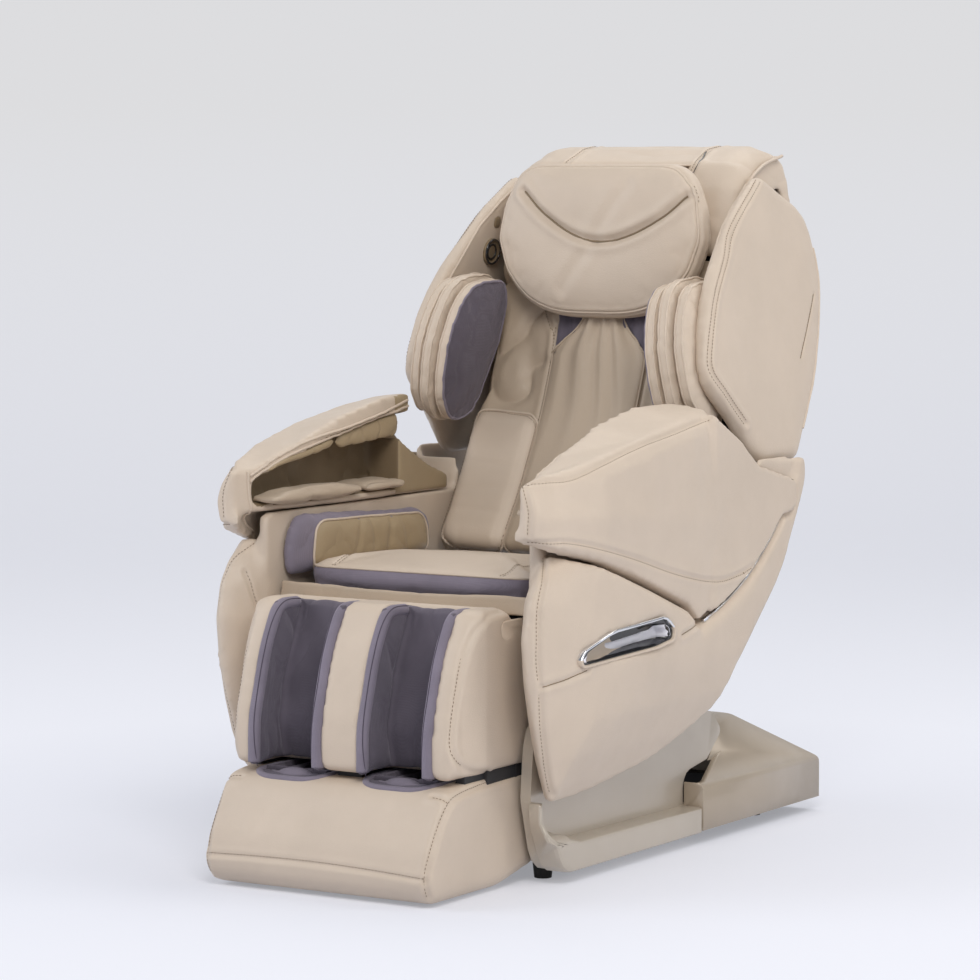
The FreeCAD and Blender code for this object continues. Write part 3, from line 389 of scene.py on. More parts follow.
def remeshed(obj, size):
    return modified(obj, "REMESH", mode="VOXEL", voxel_size=size * mm)


def subdivided(obj):
    return modified(obj, "SUBSURF", levels=1, render_levels=1)


def read(items, key, width=3, kind=float):
    found = np.empty(len(items) * width, dtype=kind)
    items.foreach_get(key, found)
    return found.reshape(-1, width)


def points_of(obj):
    return read(obj.data.vertices, "co")


def normals_of(obj):
    return read(obj.data.vertices, "normal")


def box_of(obj):
    co = points_of(obj)
    return co.min(axis=0), co.max(axis=0)


def put_points(obj, co):
    obj.data.vertices.foreach_set("co", np.ascontiguousarray(co, dtype=np.float32).ravel())
    obj.data.update()


def mean_beside(pairs, values):
    """For each vertex the mean over those that an edge joins to it."""
    count = len(values)
    total = np.zeros_like(values)
    for k in range(3):
        total[:, k] = np.bincount(pairs[:, 0], values[pairs[:, 1], k], count)
        total[:, k] += np.bincount(pairs[:, 1], values[pairs[:, 0], k], count)
    return total / np.bincount(pairs.ravel(), minlength=count)[:, None]


def relax(obj, rounds):
    """Smooths facets away, then gives back what the edges and noses lost by it."""
    start = points_of(obj)
    co = start.copy()
    pairs = read(obj.data.edges, "vertices", 2, np.int32)
    for step in range(rounds * 2):
        co += (SWELL if step % 2 else SHRINK) * (mean_beside(pairs, co) - co)
    for again in range(2):
        lost = start - co
        for step in range(5):
            lost += 0.7 * (mean_beside(pairs, lost) - lost)
        co += lost
    put_points(obj, co)
    return obj


def paint(obj, *names, pick=None):
    """Gives the piece its materials, and each face the one whose number pick gives."""
    obj.data.materials.clear()
    for name in names:
        obj.data.materials.append(MAT[name])
    if pick:
        polygons = obj.data.polygons
        index = pick(read(polygons, "center") / mm, read(polygons, "normal"))
        polygons.foreach_set("material_index", np.asarray(index, dtype=np.int32))
        obj.data.update()
    return obj


def cad_copy(node, name):
    obj = linked(name, nodes[node].data.copy())
    obj.data.materials.clear()
    return obj


def even(node, voxel, rounds):
    """The CAD solid as an even, smooth mesh."""
    return relax(remeshed(cad_copy(node, f"{node}_soft"), voxel), rounds)


def finer(obj):
    subdivided(obj)
    obj.data.shade_smooth()
    return obj


def fine_copy(node, width):
    """A rigid CAD piece with its corners broken and its curves shaded smooth."""
    def plain(bm):
        bmesh.ops.remove_doubles(bm, verts=bm.verts, dist=WELD)
        bmesh.ops.dissolve_limit(bm, angle_limit=math.radians(1.2), verts=bm.verts,
                                 edges=bm.edges)

    obj = reworked(cad_copy(node, f"{node}_fine"), plain)
    modified(obj, "BEVEL", width=width * mm, segments=2, limit_method="ANGLE",
             angle_limit=math.radians(40), harden_normals=True)
    obj.data.shade_smooth()
    obj.data.set_sharp_from_angle(angle=math.radians(38))
    return paint(obj, slot_of_node[node])


def reflected(obj, name):
    """The same piece on the other side of the chair."""
    copy = linked(name, obj.data.copy())
    copy.data.transform(Matrix.Scale(-1, 4, (1, 0, 0)))
    copy.data.flip_normals()
    return copy


def sliced(obj, point, normal):
    """Adds a loop of edges where a plane crosses the piece."""
    return reworked(obj, lambda bm: bmesh.ops.bisect_plane(
        bm, geom=bm.verts[:] + bm.edges[:] + bm.faces[:], plane_co=Vector(point) * mm,
        plane_no=Vector(normal)))


def surface(obj):
    return BVHTree.FromObject(obj, bpy.context.evaluated_depsgraph_get())


def search_tree(points):
    tree = KDTree(len(points))
    for i, p in enumerate(points):
        tree.insert(p, i)
    tree.balance()
    return tree


# Lines: a path is a list of points, and a line is a list of points with normals in metres

def run_of(pts):
    """The length of a polyline up to each of its points."""
    return np.concatenate([[0], np.cumsum(np.linalg.norm(np.diff(pts, axis=0), axis=1))])


def at_run(pts, run, at):
    return np.stack([np.interp(at, run, pts[:, k]) for k in range(pts.shape[1])], axis=-1)


def along(path, pitch):
    """A polyline cut into even steps."""
    pts = np.array(path, float)
    run = run_of(pts)
    return at_run(pts, run, np.linspace(0, run[-1], max(2, int(run[-1] / pitch) + 1)))


def curved(path, per=8):
    """A smooth line through points."""
    pts = [np.array(p, float) for p in path]
    pts = [2 * pts[0] - pts[1]] + pts + [2 * pts[-1] - pts[-2]]
    out = []
    for a, b, c, d in zip(pts, pts[1:], pts[2:], pts[3:]):
        for i in range(per):
            t = i / per
            out.append(0.5 * (2 * b + (c - a) * t + (2 * a - 5 * b + 4 * c - d) * t * t
                              + (3 * b - a - 3 * c + d) * t ** 3))
    out.append(pts[-2])
    return np.array(out)


def rounded(corners, radius, steps=5):
    """A closed path with straight sides and rounded corners."""
    out = []
    count = len(corners)
    for k in range(count):
        a, b, c = (np.array(corners[(k + j - 1) % count], float) for j in range(3))
        u, v = a - b, c - b
        r = min(radius, 0.45 * np.linalg.norm(u), 0.45 * np.linalg.norm(v))
        start = b + u / np.linalg.norm(u) * r
        end = b + v / np.linalg.norm(v) * r
        for i in range(steps + 1):
            t = i / steps
            out.append((1 - t) ** 2 * start + 2 * t * (1 - t) * b + t * t * end)
    out.append(out[0])
    return out


def laid(tree, path, pitch=3.0):
    """A path brought to the nearest place on a surface."""
    found = [tree.find_nearest(Vector(p) * mm) for p in along(curved(path), pitch)]
    return [(np.array(spot), np.array(normal)) for spot, normal, index, distance in found]


def calm(line, rounds):
    """Evens out a line that was laid on a surface, and the directions it faces."""
    rows = np.array([np.concatenate([p, n]) for p, n in line])
    for step in range(rounds):
        rows[1:-1] += 0.5 * ((rows[:-2] + rows[2:]) / 2 - rows[1:-1])
    rows[:, 3:] /= np.linalg.norm(rows[:, 3:], axis=1)[:, None]
    return [(row[:3], row[3:]) for row in rows]


def girdle(tree, middle, a, b, count=220, reach=0.6):
    """The line round a piece where a plane through its middle meets the surface."""
    line = []
    centre = Vector(middle) * mm
    for i in range(count):
        turn = math.tau * i / count
        ray = Vector(a) * math.cos(turn) + Vector(b) * math.sin(turn)
        spot, normal, index, distance = tree.ray_cast(centre + ray * reach, -ray)
        if spot is not None:
            line.append((np.array(spot), np.array(normal)))
    return line


def ringed(line, pitch=4.0):
    """A closed line cut into even steps."""
    pts = np.array([np.concatenate([p, n]) for p, n in line])
    pts = np.vstack([pts, pts[:1]])
    run = run_of(pts[:, :3])
    count = max(8, int(run[-1] / (pitch * mm)))
    rows = at_run(pts, run, np.linspace(0, run[-1], count, endpoint=False))
    return [(row[:3], row[3:]) for row in rows]


def mirrored_paths(paths):
    return paths + [[(-x, y, z) for x, y, z in p] for p in paths]


# Forms

def furrow(obj, lines, width, depth, swell, reach):
    """Presses lines into a surface, and lets it swell a little on both sides of them."""
    samples = [p for line in lines for p, n in line]
    tree = search_tree(samples)
    co = points_of(obj)
    far = reach * mm
    low = np.min(samples, axis=0) - far
    high = np.max(samples, axis=0) + far
    near = np.where(np.all((co > low) & (co < high), axis=1))[0]
    gap = np.array([tree.find(co[i])[2] for i in near])
    crest = far / 2.2
    move = -depth * mm * np.exp(-(gap / (width * mm)) ** 2)
    move += swell * mm * np.exp(-((gap - crest) / (crest * 0.7)) ** 2)
    move[gap > far * 1.4] = 0
    co[near] += normals_of(obj)[near] * move[:, None]
    put_points(obj, co)


def skin(rows, cols, base=0, around=True, closed=False):
    """The faces that join rows of cols points, which are numbered from base."""
    faces = []
    for i in range(rows if closed else rows - 1):
        a, b = base + i * cols, base + (i + 1) % rows * cols
        for s in range(cols if around else cols - 1):
            t = (s + 1) % cols
            faces.append((a + s, a + t, b + t, b + s))
    return faces


def caps(rows, cols, base=0):
    """The two faces that close the ends of a skin."""
    last = base + (rows - 1) * cols
    return [tuple(reversed(range(base, base + cols))), tuple(range(last, last + cols))]


def tube(name, line, radius, sides, material, lift=0.0, closed=False):
    """A round cord laid along a line on a surface."""
    normals = np.array([n for p, n in line])
    pts = np.array([p for p, n in line]) + normals * lift * mm
    ahead = np.roll(pts, -1, axis=0) - np.roll(pts, 1, axis=0)
    if not closed:
        ahead[0] = pts[1] - pts[0]
        ahead[-1] = pts[-1] - pts[-2]
    ahead /= np.maximum(np.linalg.norm(ahead, axis=1), 1e-9)[:, None]
    across = np.cross(ahead, normals)
    across /= np.maximum(np.linalg.norm(across, axis=1), 1e-9)[:, None]
    up = np.cross(across, ahead)
    turns = np.arange(sides) * math.tau / sides
    ring = pts[:, None, :] + radius * mm * (across[:, None, :] * np.cos(turns)[None, :, None]
                                            + up[:, None, :] * np.sin(turns)[None, :, None])
    faces = skin(len(pts), sides, closed=closed)
    if not closed:
        faces += caps(len(pts), sides)
    return new_object(name, ring.reshape(-1, 3), faces, material)


def stitches(name, lines, lift, aside):
    """Sewn thread: short rounded dashes along lines on a surface."""
    verts = []
    faces = []
    sides = 5
    shape = ((-0.5, 0.35, -0.4), (-0.32, 1.0, 0.25), (0.32, 1.0, 0.25), (0.5, 0.35, -0.4))
    pitch = (STITCH + STITCH_GAP) * mm
    for line in lines:
        pts = np.array([p for p, n in line])
        normals = np.array([n for p, n in line])
        run = run_of(pts)
        for i in range(int(run[-1] / pitch)):
            at = (i + 0.5) * pitch
            n = at_run(normals, run, at)
            n /= max(np.linalg.norm(n), 1e-9)
            d = at_run(pts, run, at + 0.001) - at_run(pts, run, at - 0.001)
            d = d / max(np.linalg.norm(d), 1e-9)
            across = np.cross(d, n)
            base = len(verts)
            middle = at_run(pts, run, at) + n * lift * mm + across * aside * mm
            for s, r, rise in shape:
                centre = middle + d * s * STITCH * mm + n * rise * THREAD_RADIUS * mm
                for k in range(sides):
                    t = k * math.tau / sides
                    verts.append(centre + THREAD_RADIUS * mm * r
                                 * (across * math.cos(t) + n * math.sin(t)))
            faces += skin(len(shape), sides, base) + caps(len(shape), sides, base)
    return new_object(name, verts, faces, "thread")


def sewn(obj, name, paths, width=4.2, depth=2.2, swell=1.5, reach=20, rows=(3.4,)):
    """A seam pressed into a surface, with its rows of stitches beside it."""
    tree = surface(obj)
    lines = [laid(tree, p, 2.5) for p in paths]
    furrow(obj, lines, width, depth, swell, reach)
    return [stitches(f"{name}_{k}", lines,
                     0.25 - depth * math.exp(-(aside / width) ** 2) + 0.5 * swell, aside)
            for k, aside in enumerate(rows)]


def inflated(obj, cap, pressure, pins=()):
    """Air pressure in the cloth, held along the pinned lines."""
    before = points_of(obj)
    cloth = obj.modifiers.new("air", "CLOTH")
    settings = cloth.settings
    settings.quality = 4
    settings.mass = 0.3
    settings.tension_stiffness = 18
    settings.compression_stiffness = 18
    settings.bending_stiffness = 0.6
    settings.use_pressure = True
    settings.uniform_pressure_force = pressure
    settings.effector_weights.gravity = 0
    cloth.collision_settings.use_collision = False
    if pins:
        tree = search_tree([p for line in pins for p, n in line])
        held = [i for i, p in enumerate(before) if tree.find(p)[2] < PIN_REACH * mm]
        group = obj.vertex_groups.new(name="held")
        group.add(held, 1.0, "REPLACE")
        settings.vertex_group_mass = "held"
    cloth.point_cache.frame_start = 1
    cloth.point_cache.frame_end = AIR_FRAMES
    for frame_number in range(1, AIR_FRAMES + 1):
        scene.frame_set(frame_number)
    applied(obj)
    obj.vertex_groups.clear()
    scene.frame_set(1)
    move = points_of(obj) - before
    far = np.linalg.norm(move, axis=1)[:, None]
    put_points(obj, before + move * np.minimum(1.0, cap * mm / np.maximum(far, 1e-9)))
    return obj


def creased(obj, depth, size, stretch=(1, 1, 1), seed=0.0, where=None, sharp=3.2):
    """Soft folds of leather or cloth: rounded swells parted by narrower creases."""
    co = points_of(obj)
    normal = normals_of(obj)
    share = np.ones(len(co)) if where is None else where(co / mm, normal)
    shift = Vector((seed, seed * 1.7, seed * 0.6))
    stretch = np.array(stretch, float)
    for i in np.where(share > 0.02)[0]:
        p = Vector(co[i] / mm * stretch / size) + shift
        value = noise.noise(p) + 0.4 * noise.noise(p * 2.1 + shift)
        fold = 0.35 * noise.noise(p * 0.6) - max(0.0, 1 - abs(value) * sharp) ** 1.6
        co[i] += normal[i] * depth * mm * share[i] * fold
    put_points(obj, co)
    return obj


def inside(ring, u, v):
    hit = np.zeros(len(u), bool)
    for (a, b), (c, d) in zip(ring, np.roll(ring, -1, axis=0)):
        if b != d:
            hit ^= ((b > v) != (d > v)) & (u < (c - a) * (v - b) / (d - b) + a)
    return hit


def patch(name, tree, ring, towards, material, swell=6.0, edge=14.0, pitch=5.0, lift=0.6,
          ripple=None):
    """A crowned panel sewn on a surface: its outline lies across the direction it is cast in."""
    axis = int(np.argmax(np.abs(towards)))
    ray = Vector(towards).normalized()

    def rim_gap(pts):
        return np.sqrt(((pts[:, None] - ring) ** 2).sum(axis=2).min(axis=1))

    ring = np.array(along(ring, pitch)[:-1])
    low, high = ring.min(axis=0), ring.max(axis=0)
    u, v = (part.ravel() for part in np.meshgrid(np.arange(low[0], high[0], pitch),
                                                 np.arange(low[1], high[1], pitch)))
    grid = np.stack([u, v], axis=1)[inside(ring, u, v)]
    flat = np.vstack([ring, grid[rim_gap(grid) > 0.75 * pitch]])
    count = len(ring)
    edges = [(i, (i + 1) % count) for i in range(count)]
    out = geometry.delaunay_2d_cdt([Vector(p) for p in flat], edges, [], 1, 1e-4)
    flat = np.array([tuple(p) for p in out[0]])
    gap = rim_gap(flat)
    spots, norms = [], []
    for p in flat:
        start = Vector(np.insert(p, axis, 0)) * mm - ray * OUTSIDE
        spot, normal, index, distance = tree.ray_cast(start, ray)
        if spot is None:
            spot, normal, index, distance = tree.find_nearest(start + ray * OUTSIDE)
        spots.append(spot)
        norms.append(normal)
    spots, norms = np.array(spots), np.array(norms)
    rise = lift + swell * (1 - np.exp(-(gap / edge) ** 1.6))
    if ripple:
        rise = rise + ripple(flat[:, 0], flat[:, 1]) * np.minimum(1, gap / edge)
    top = spots + norms * rise[:, None] * mm
    faces = [tuple(f) for f in out[2]]
    turn = {int(np.argmin(((ring - flat[i]) ** 2).sum(axis=1))): i
            for i in range(len(flat)) if gap[i] < 1e-3}
    rim = [turn[k] for k in sorted(turn)]
    base = len(top)
    for k, a in enumerate(rim):
        after = (k + 1) % len(rim)
        faces.append((a, rim[after], base + after, base + k))
    obj = new_object(name, [*top, *(spots[i] - norms[i] * 3 * mm for i in rim)], faces, material)
    reworked(obj, facing_out)
    normal = read(obj.data.polygons, "normal")
    if normal[:len(out[2])].dot(np.array(ray)).sum() > 0:
        obj.data.flip_normals()
    return obj, [(top[i], norms[i]) for i in rim]


def strip(name, path, down, thick, material, sides=14, taper=4):
    """A padded flap hanging from a path: an oval swept along it, drawn in at its ends."""
    pts = along(curved(path), 5.0)
    count = len(pts)
    verts = []
    ahead = np.gradient(pts, axis=0)
    ahead /= np.linalg.norm(ahead, axis=1)[:, None]
    for i, p in enumerate(pts):
        close = min(i, count - 1 - i) / taper
        size = math.sin(min(1.0, close) * math.pi / 2) * 0.92 + 0.08
        drop = down[0] + (down[1] - down[0]) * i / (count - 1)
        across = np.cross(ahead[i], (0, 0, 1))
        across /= np.linalg.norm(across)
        for k in range(sides):
            t = math.tau * k / sides
            wide = math.copysign(abs(math.cos(t)) ** 0.8, math.cos(t)) * thick / 2
            verts.append((p + across * wide * size
                          + np.array((0, 0, -drop / 2 + math.sin(t) * drop / 2 * size))) * mm)
    faces = skin(count, sides) + caps(count, sides)
    return reworked(new_object(name, verts, faces, material), facing_out)


def block(name, low, high, material):
    """A plain closed band between two corners."""
    x, y, z = zip(low, high)
    verts = [(a * mm, b * mm, c * mm) for c in z for b in y for a in x]
    faces = [(0, 2, 3, 1), (4, 5, 7, 6), (0, 1, 5, 4), (1, 3, 7, 5), (3, 2, 6, 7), (2, 0, 4, 6)]
    return new_object(name, verts, faces, material, False)


def loose_parts(node, name):
    """Each separate solid of a node as its own object, in order along X."""
    bm = bmesh.new()
    bm.from_mesh(nodes[node].data)
    bmesh.ops.remove_doubles(bm, verts=bm.verts, dist=WELD)
    bm.verts.ensure_lookup_table()
    seen = set()
    parts = []
    for vert in bm.verts:
        if vert.index in seen:
            continue
        stack, group = [vert], set()
        while stack:
            here = stack.pop()
            if here.index not in group:
                group.add(here.index)
                stack.extend(e.other_vert(here) for e in here.link_edges)
        seen |= group
        order = sorted(group)
        slot = {v: i for i, v in enumerate(order)}
        faces = [[slot[v.index] for v in f.verts] for f in bm.faces if f.verts[0].index in group]
        parts.append(([tuple(bm.verts[i].co) for i in order], faces))
    bm.free()
    parts.sort(key=lambda part: sum(v[0] for v in part[0]) / len(part[0]))
    return [new_object(f"{name}_{i}", *part, "leather") for i, part in enumerate(parts)]


# Giving pieces to bodies

def finish_piece(obj, body, slot, *replaced, fill=None):
    if replaced:
        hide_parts(*replaced)
    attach(obj, body)


def single(node, made):
    """Puts pieces on the body of a node; the first stands for the node."""
    for i, (obj, slot, fill) in enumerate(made):
        finish_piece(obj, body_of_node[node], slot, *((node,) if i == 0 else ()), fill=fill)


def handed(stem, made):
    """Puts left pieces on their body and mirrors them to the right."""
    for i, (obj, slot, fill) in enumerate(made):
        twin = reflected(obj, obj.name.replace("left", "right"))
        for piece, hand in ((obj, "left"), (twin, "right")):
            node = f"{stem}_{hand}"
            finish_piece(piece, body_of_node[node], slot, *((node,) if i == 0 else ()), fill=fill)


def trims(objs, slot="leather"):
    return [(obj, slot, None) for obj in objs]


MAT = make_materials()
place_camera()
light_the_room()
lay_floor()


# Back and head

def make_pillow():
    obj = even("pillow", 7, 18)
    out = Vector((0, -0.9945, 0.1045))
    up = Vector((0, 0.1045, 0.9945))
    side = Vector((1, 0, 0))
    middle = Vector((0, 349, 1067))

    def rims():
        tree = surface(obj)
        return [girdle(tree, middle + out * d, side, up) for d in (44, 14)]

    def turned(pts):
        """How far across and how high points in metres lie from the pillow's middle."""
        flat = pts / mm - np.array(middle)
        return flat[:, 0], flat @ np.array(up)

    smile = [(-158, 295, 1164), (-108, 285, 1122), (-46, 278, 1086), (12, 275, 1073),
             (72, 278, 1084), (138, 288, 1116), (188, 300, 1158)]
    co = points_of(obj)
    across, rise = turned(co)
    ring = girdle(surface(obj), middle + out * 29, side, up, 360)
    x, z = turned(np.array([p for p, n in ring]))
    span = np.linspace(-math.pi, math.pi, 361)[:-1]
    far = np.interp(span, np.arctan2(z, x), np.hypot(z, x), period=math.tau)
    bell = np.exp(-0.5 * (np.arange(-45, 46) / 13.0) ** 2)
    soft = np.convolve(np.concatenate([far[-45:], far, far[:45]]), bell / bell.sum(), "valid")
    low = np.clip(-np.sin(span) * 1.6 + 0.25, 0, 1)
    turn = 1 + (soft / far - 1) * low
    by = np.interp(np.arctan2(rise, across), span, turn, period=math.tau)
    co += ((by - 1) * across)[:, None] * np.array(side) * mm
    co += ((by - 1) * rise)[:, None] * np.array(up) * mm
    put_points(obj, co)
    inflated(obj, 9, 3.0, rims() + [laid(surface(obj), smile)])
    finer(obj)
    front, back = rims()
    furrow(obj, [front, back], 4.5, 2.6, 1.4, 18)
    folds = [[(4, 270, 1080), (30, 275, 1125), (66, 285, 1180)],
             [(-8, 270, 1062), (-34, 270, 1025), (-62, 275, 985)]]
    tree = surface(obj)
    furrow(obj, [laid(tree, f) for f in folds], 15, 2.4, 1.4, 44)
    grin = laid(tree, smile)
    furrow(obj, [grin], 8, 8.0, 4.0, 30)
    paint(obj, "leather")
    front, back = rims()
    pipes = [tube(f"pillow_pipe_{end}", ringed(rim), 2.7, 8, "leather", 0.6, True)
             for end, rim in (("front", front), ("back", back))]
    # Painted shade: a dark line sunk into the smile crease.
    pipes.append(tube("pillow_smile_shade_line", grin, 1.7, 6, "lining_and_shade", -5.6))
    sewing = stitches("pillow_thread", [ringed(front, 2.5)], 0.4, 5)
    single("pillow", [(obj, "leather", 0.8)] + trims(pipes + [sewing]))
    strap = paint(finer(even("pillow_strap", 3, 4)), "leather")
    single("pillow_strap", [(strap, "leather", 0.3)])


def make_hood():
    obj = finer(even("back_top", 7, 18))
    seams = mirrored_paths([[(137, 560, 1246), (134, 473, 1238), (138, 427, 1215),
                             (134, 405, 1180), (134, 372, 1130)]])
    thread = sewn(obj, "hood_seam", seams, 4.5, 3.0, 1.6, 20, (4.0,))
    mouth = laid(surface(obj), [(131, 478, 1237), (140, 430, 1216), (134, 408, 1190)])
    # Painted shade: a dark cord sunk into the slit along the seam.
    slit = tube("hood_slit_shade", mouth, 1.6, 6, "dark", -1.0)
    paint(obj, "leather")
    creased(obj, 1.6, 120, (0.6, 1, 1), 3.1)
    apron = []
    for hand, side in HANDS:
        edge = curved([(238, 575, 1228), (240, 500, 1212), (241, 440, 1182), (242, 408, 1152),
                       (242, 392, 1136)], 8)
        verts = []
        cols = 9
        for row, p in enumerate(edge):
            for c in range(cols):
                t = c / (cols - 1)
                x = p[0] - 92 * t
                y = p[1] + 34 * t ** 1.4 + 3 * math.sin(row * 0.35 + t * 4)
                z = p[2] - 10 * t + 5 * math.sin(t * math.pi)
                verts.append((side * x * mm, y * mm, z * mm))
        flap = new_object(f"hood_apron_{hand}", verts, skin(len(edge), cols, around=False),
                          "leather")
        modified(flap, "SOLIDIFY", thickness=4 * mm)
        subdivided(flap)
        flap.data.shade_smooth()
        line = [(np.array((side * p[0], p[1], p[2])) * mm, np.array((side * 0.3, -0.8, 0.5)))
                for p in along(edge, 4)]
        apron.append((flap, "leather", 0.2))
        apron += trims([tube(f"hood_apron_pipe_{hand}", line, 3.0, 8, "leather")])
    single("back_top", [(obj, "leather", 0.8)] + trims(thread + [slit]) + apron)


def make_wings():
    obj = finer(even("back_wing_left", 7, 18))
    outer = [(266, 430, 1186), (269, 407, 1170), (279, 303, 1097), (292, 257, 1046),
             (304, 199, 978), (314, 160, 900), (322, 150, 850), (331, 190, 806), (340, 250, 750)]
    slit = [(307, 574, 973), (317, 531, 915), (326, 487, 858)]
    rear = [(300, 606, 1060), (312, 612, 990), (326, 585, 900), (338, 540, 820), (345, 470, 730)]
    thread = sewn(obj, "wing_left_seam", [outer], 4.5, 2.6, 1.8, 20, (4.5, -4.5))
    mouth = laid(surface(obj), slit)
    furrow(obj, [mouth], 4.0, 2.6, 0.8, 12)
    # Painted shade: a dark cord sunk into the slit's furrow.
    cut = tube("wing_left_slit", mouth, 0.9, 6, "lining_and_shade", -1.6)
    paint(obj, "leather")
    inner = [(236, 420, 1178), (246, 310, 1104), (258, 262, 1050), (272, 204, 980),
             (284, 164, 900), (292, 156, 850), (302, 196, 800), (310, 262, 742)]
    tree = surface(obj)
    knob = rounded([(352, 1093), (374, 1093), (374, 1115), (352, 1115)], 11, 6)
    cap = patch("wing_left_cap", tree, knob, (1, 0, 0), "lining_and_shade", 2.0, 4, 3, 1.0)[0]
    pipe = tube("wing_left_pipe", laid(tree, inner), 2.6, 8, "leather", 0.4)
    back = tube("wing_left_rear_pipe", laid(tree, rear), 2.4, 8, "leather", 0.2)
    handed("back_wing", [(obj, "leather", 0.9)] + trims(thread + [cut, pipe, back, cap]))
    made = []
    lean = math.radians(8.7)
    up = Vector((-math.sin(lean), 0, math.cos(lean)))
    out = Vector((math.cos(lean), 0, math.sin(lean)))
    for i, pad in enumerate(loose_parts("shoulder_airbags_left", "shoulder_pad_left")):
        relax(remeshed(pad, 5), 14)
        middle = Vector(sum(box_of(pad)) / 2) / mm
        rim = girdle(surface(pad), middle, (0, 1, 0), up, 180)
        inflated(pad, 6, 2.5, [rim])
        finer(pad)
        creased(pad, 1.2, 60, (1, 1, 1), 1.3 * i)
        if i == 0:
            split = np.array(middle + out * -7)
            sliced(pad, split, out)
            paint(pad, "leather", "fabric",
                  pick=lambda c, n: (c - split) @ np.array(out) < 0)
        else:
            paint(pad, "leather")
        tree = surface(pad)
        made.append((pad, "leather" if i else "fabric", 0.7))
        for k, d in enumerate((-7, 7)):
            ring = ringed(girdle(tree, middle + out * d, (0, 1, 0), up, 180))
            made += trims([tube(f"shoulder_pipe_left_{i}_{k}", ring, 2.3, 8, "leather", 0.3,
                                True)])
        if i == 0:
            ring = ringed(girdle(tree, middle + out * -8.5, (0, 1, 0), up, 180))
            made += trims([tube("shoulder_disc_pipe_left", ring, 2.6, 8, "fabric_light", 0.8,
                                True)], "fabric")
    handed("shoulder_airbags", made)
    cone = paint(fine_copy("speaker_left", 0.6), "lining_and_shade")
    low, high = box_of(cone)
    middle = (low + high) / 2
    made = [cone]
    tree = surface(cone)
    for k, share in enumerate((0.9, 0.55)):
        line = []
        for turn in np.arange(0, math.tau, math.tau / 40):
            at = Vector((0.1, middle[1] + (high[1] - low[1]) / 2 * share * math.cos(turn),
                         middle[2] + (high[2] - low[2]) / 2 * share * math.sin(turn)))
            spot, normal, index, distance = tree.ray_cast(at, Vector((1, 0, 0)))
            if spot is not None:
                line.append((np.array(spot), np.array(normal)))
        made.append(tube(f"speaker_left_ring_{k}", line, 2.0, 8, "dark", 0.2, True))
    handed("speaker", trims(made, "dark"))


def make_back():
    base = finer(even("back_cushion", 8, 16))

    def upper(co, normal):
        return np.clip((co[:, 2] - 700) / 90, 0, 1) * np.clip((np.abs(co[:, 0]) - 106) / 20, 0, 1)

    def lower(co, normal):
        return np.clip((560 - co[:, 2]) / 60, 0, 1) * 0.6

    creased(base, 13, 105, (1, 1, 0.7), 4.2, upper, 2.6)
    creased(base, 4, 80, (1, 1, 0.7), 2.2, lower, 2.6)
    paint(base, "leather_dark")
    track = [[(99, 335, 924), (99, 321, 869), (99, 281, 778), (99, 228, 707), (99, 174, 599),
              (99, 118, 500)]]
    armhole = [[(170, 340, 990), (134, 336, 945), (108, 330, 905), (99, 318, 862)]]
    thread = sewn(base, "back_seam", mirrored_paths(track), 5, 4, 2.5, 24, (4.5,))
    thread += sewn(base, "back_armhole", mirrored_paths(armhole), 5, 3, 1.5, 20, (4.0,))
    tree = surface(base)
    made = [(base, "leather_dark", 0.7)]

    def folds(x, z):
        grow = np.clip((z - 600) / 260, 0.1, 1)
        wide = np.interp(z, (500, 700, 862, 930, 985), (150, 118, 92, 54, 46))
        sway = 0.1 * np.sin(z / 52)
        out = 0
        for at, reach, high in ((-0.78, 0.15, 8), (-0.28, 0.2, 14), (0.2, 0.13, 10),
                                (0.62, 0.2, 12)):
            out = out + high * np.exp(-((x / wide - at - sway) / reach) ** 2)
        return out * grow - 6 * grow

    column = [(-96, 508), (96, 508), (97, 700), (97, 862), (84, 884), (58, 904), (41, 930),
              (38, 975), (-38, 975), (-41, 930), (-58, 904), (-84, 884), (-97, 862), (-97, 700)]
    for x in (-1, 1):
        hole = rounded([(x * 98, 866), (x * 98, 985), (x * 26, 985), (x * 26, 905)], 14)
        pad = patch(f"back_opening_{'left' if x > 0 else 'right'}", tree, hole, (0, 1, 0),
                    "fabric", 3, 12, 4, 1.5, lambda u, v: 2.5 * np.sin(u / 5.5))[0]
        made.append((pad, "fabric", 0.4))
    cover, line = patch("back_column", tree, rounded(column, 16), (0, 1, 0), "leather_dark",
                        7, 14, 4.5, 5.0, folds)
    made.append((cover, "leather_dark", 0.3))
    pipe = tube("back_column_pipe", line, 1.8, 6, "leather_dark", 0.3, True)
    single("back_cushion", made + trims([pipe] + thread, "leather_dark"))

    shape = rounded([(101, 505), (212, 508), (242, 534), (245, 640), (245, 722), (232, 757),
                     (101, 750)], 30, 6)

    def dents(u, v):
        out = 0
        for at, tilt in ((655, 0.05), (612, -0.06), (572, 0.04)):
            out = out - 1.7 * np.exp(-((v - at - tilt * (u - 170)) / 5) ** 2)
        return out * np.exp(-((u - 165) / 62) ** 2)

    pads = []
    for hand, side in HANDS:
        ring = [(side * p[0], p[1]) for p in shape]
        pad, line = patch(f"lumbar_pad_{hand}", tree, ring, (0, 1, 0), "leather", 15, 13, 4,
                          0.6, lambda u, v, s=side: dents(u * s, v))
        pads.append((pad, "leather", 0.7))
        pads += trims([tube(f"lumbar_pipe_{hand}", line, 2.6, 8, "leather", 1.2, True),
                       stitches(f"lumbar_thread_{hand}", [line], 5.5, -6 * side)])
    single("lumbar_pads", pads)


# Seat, arms and side panels

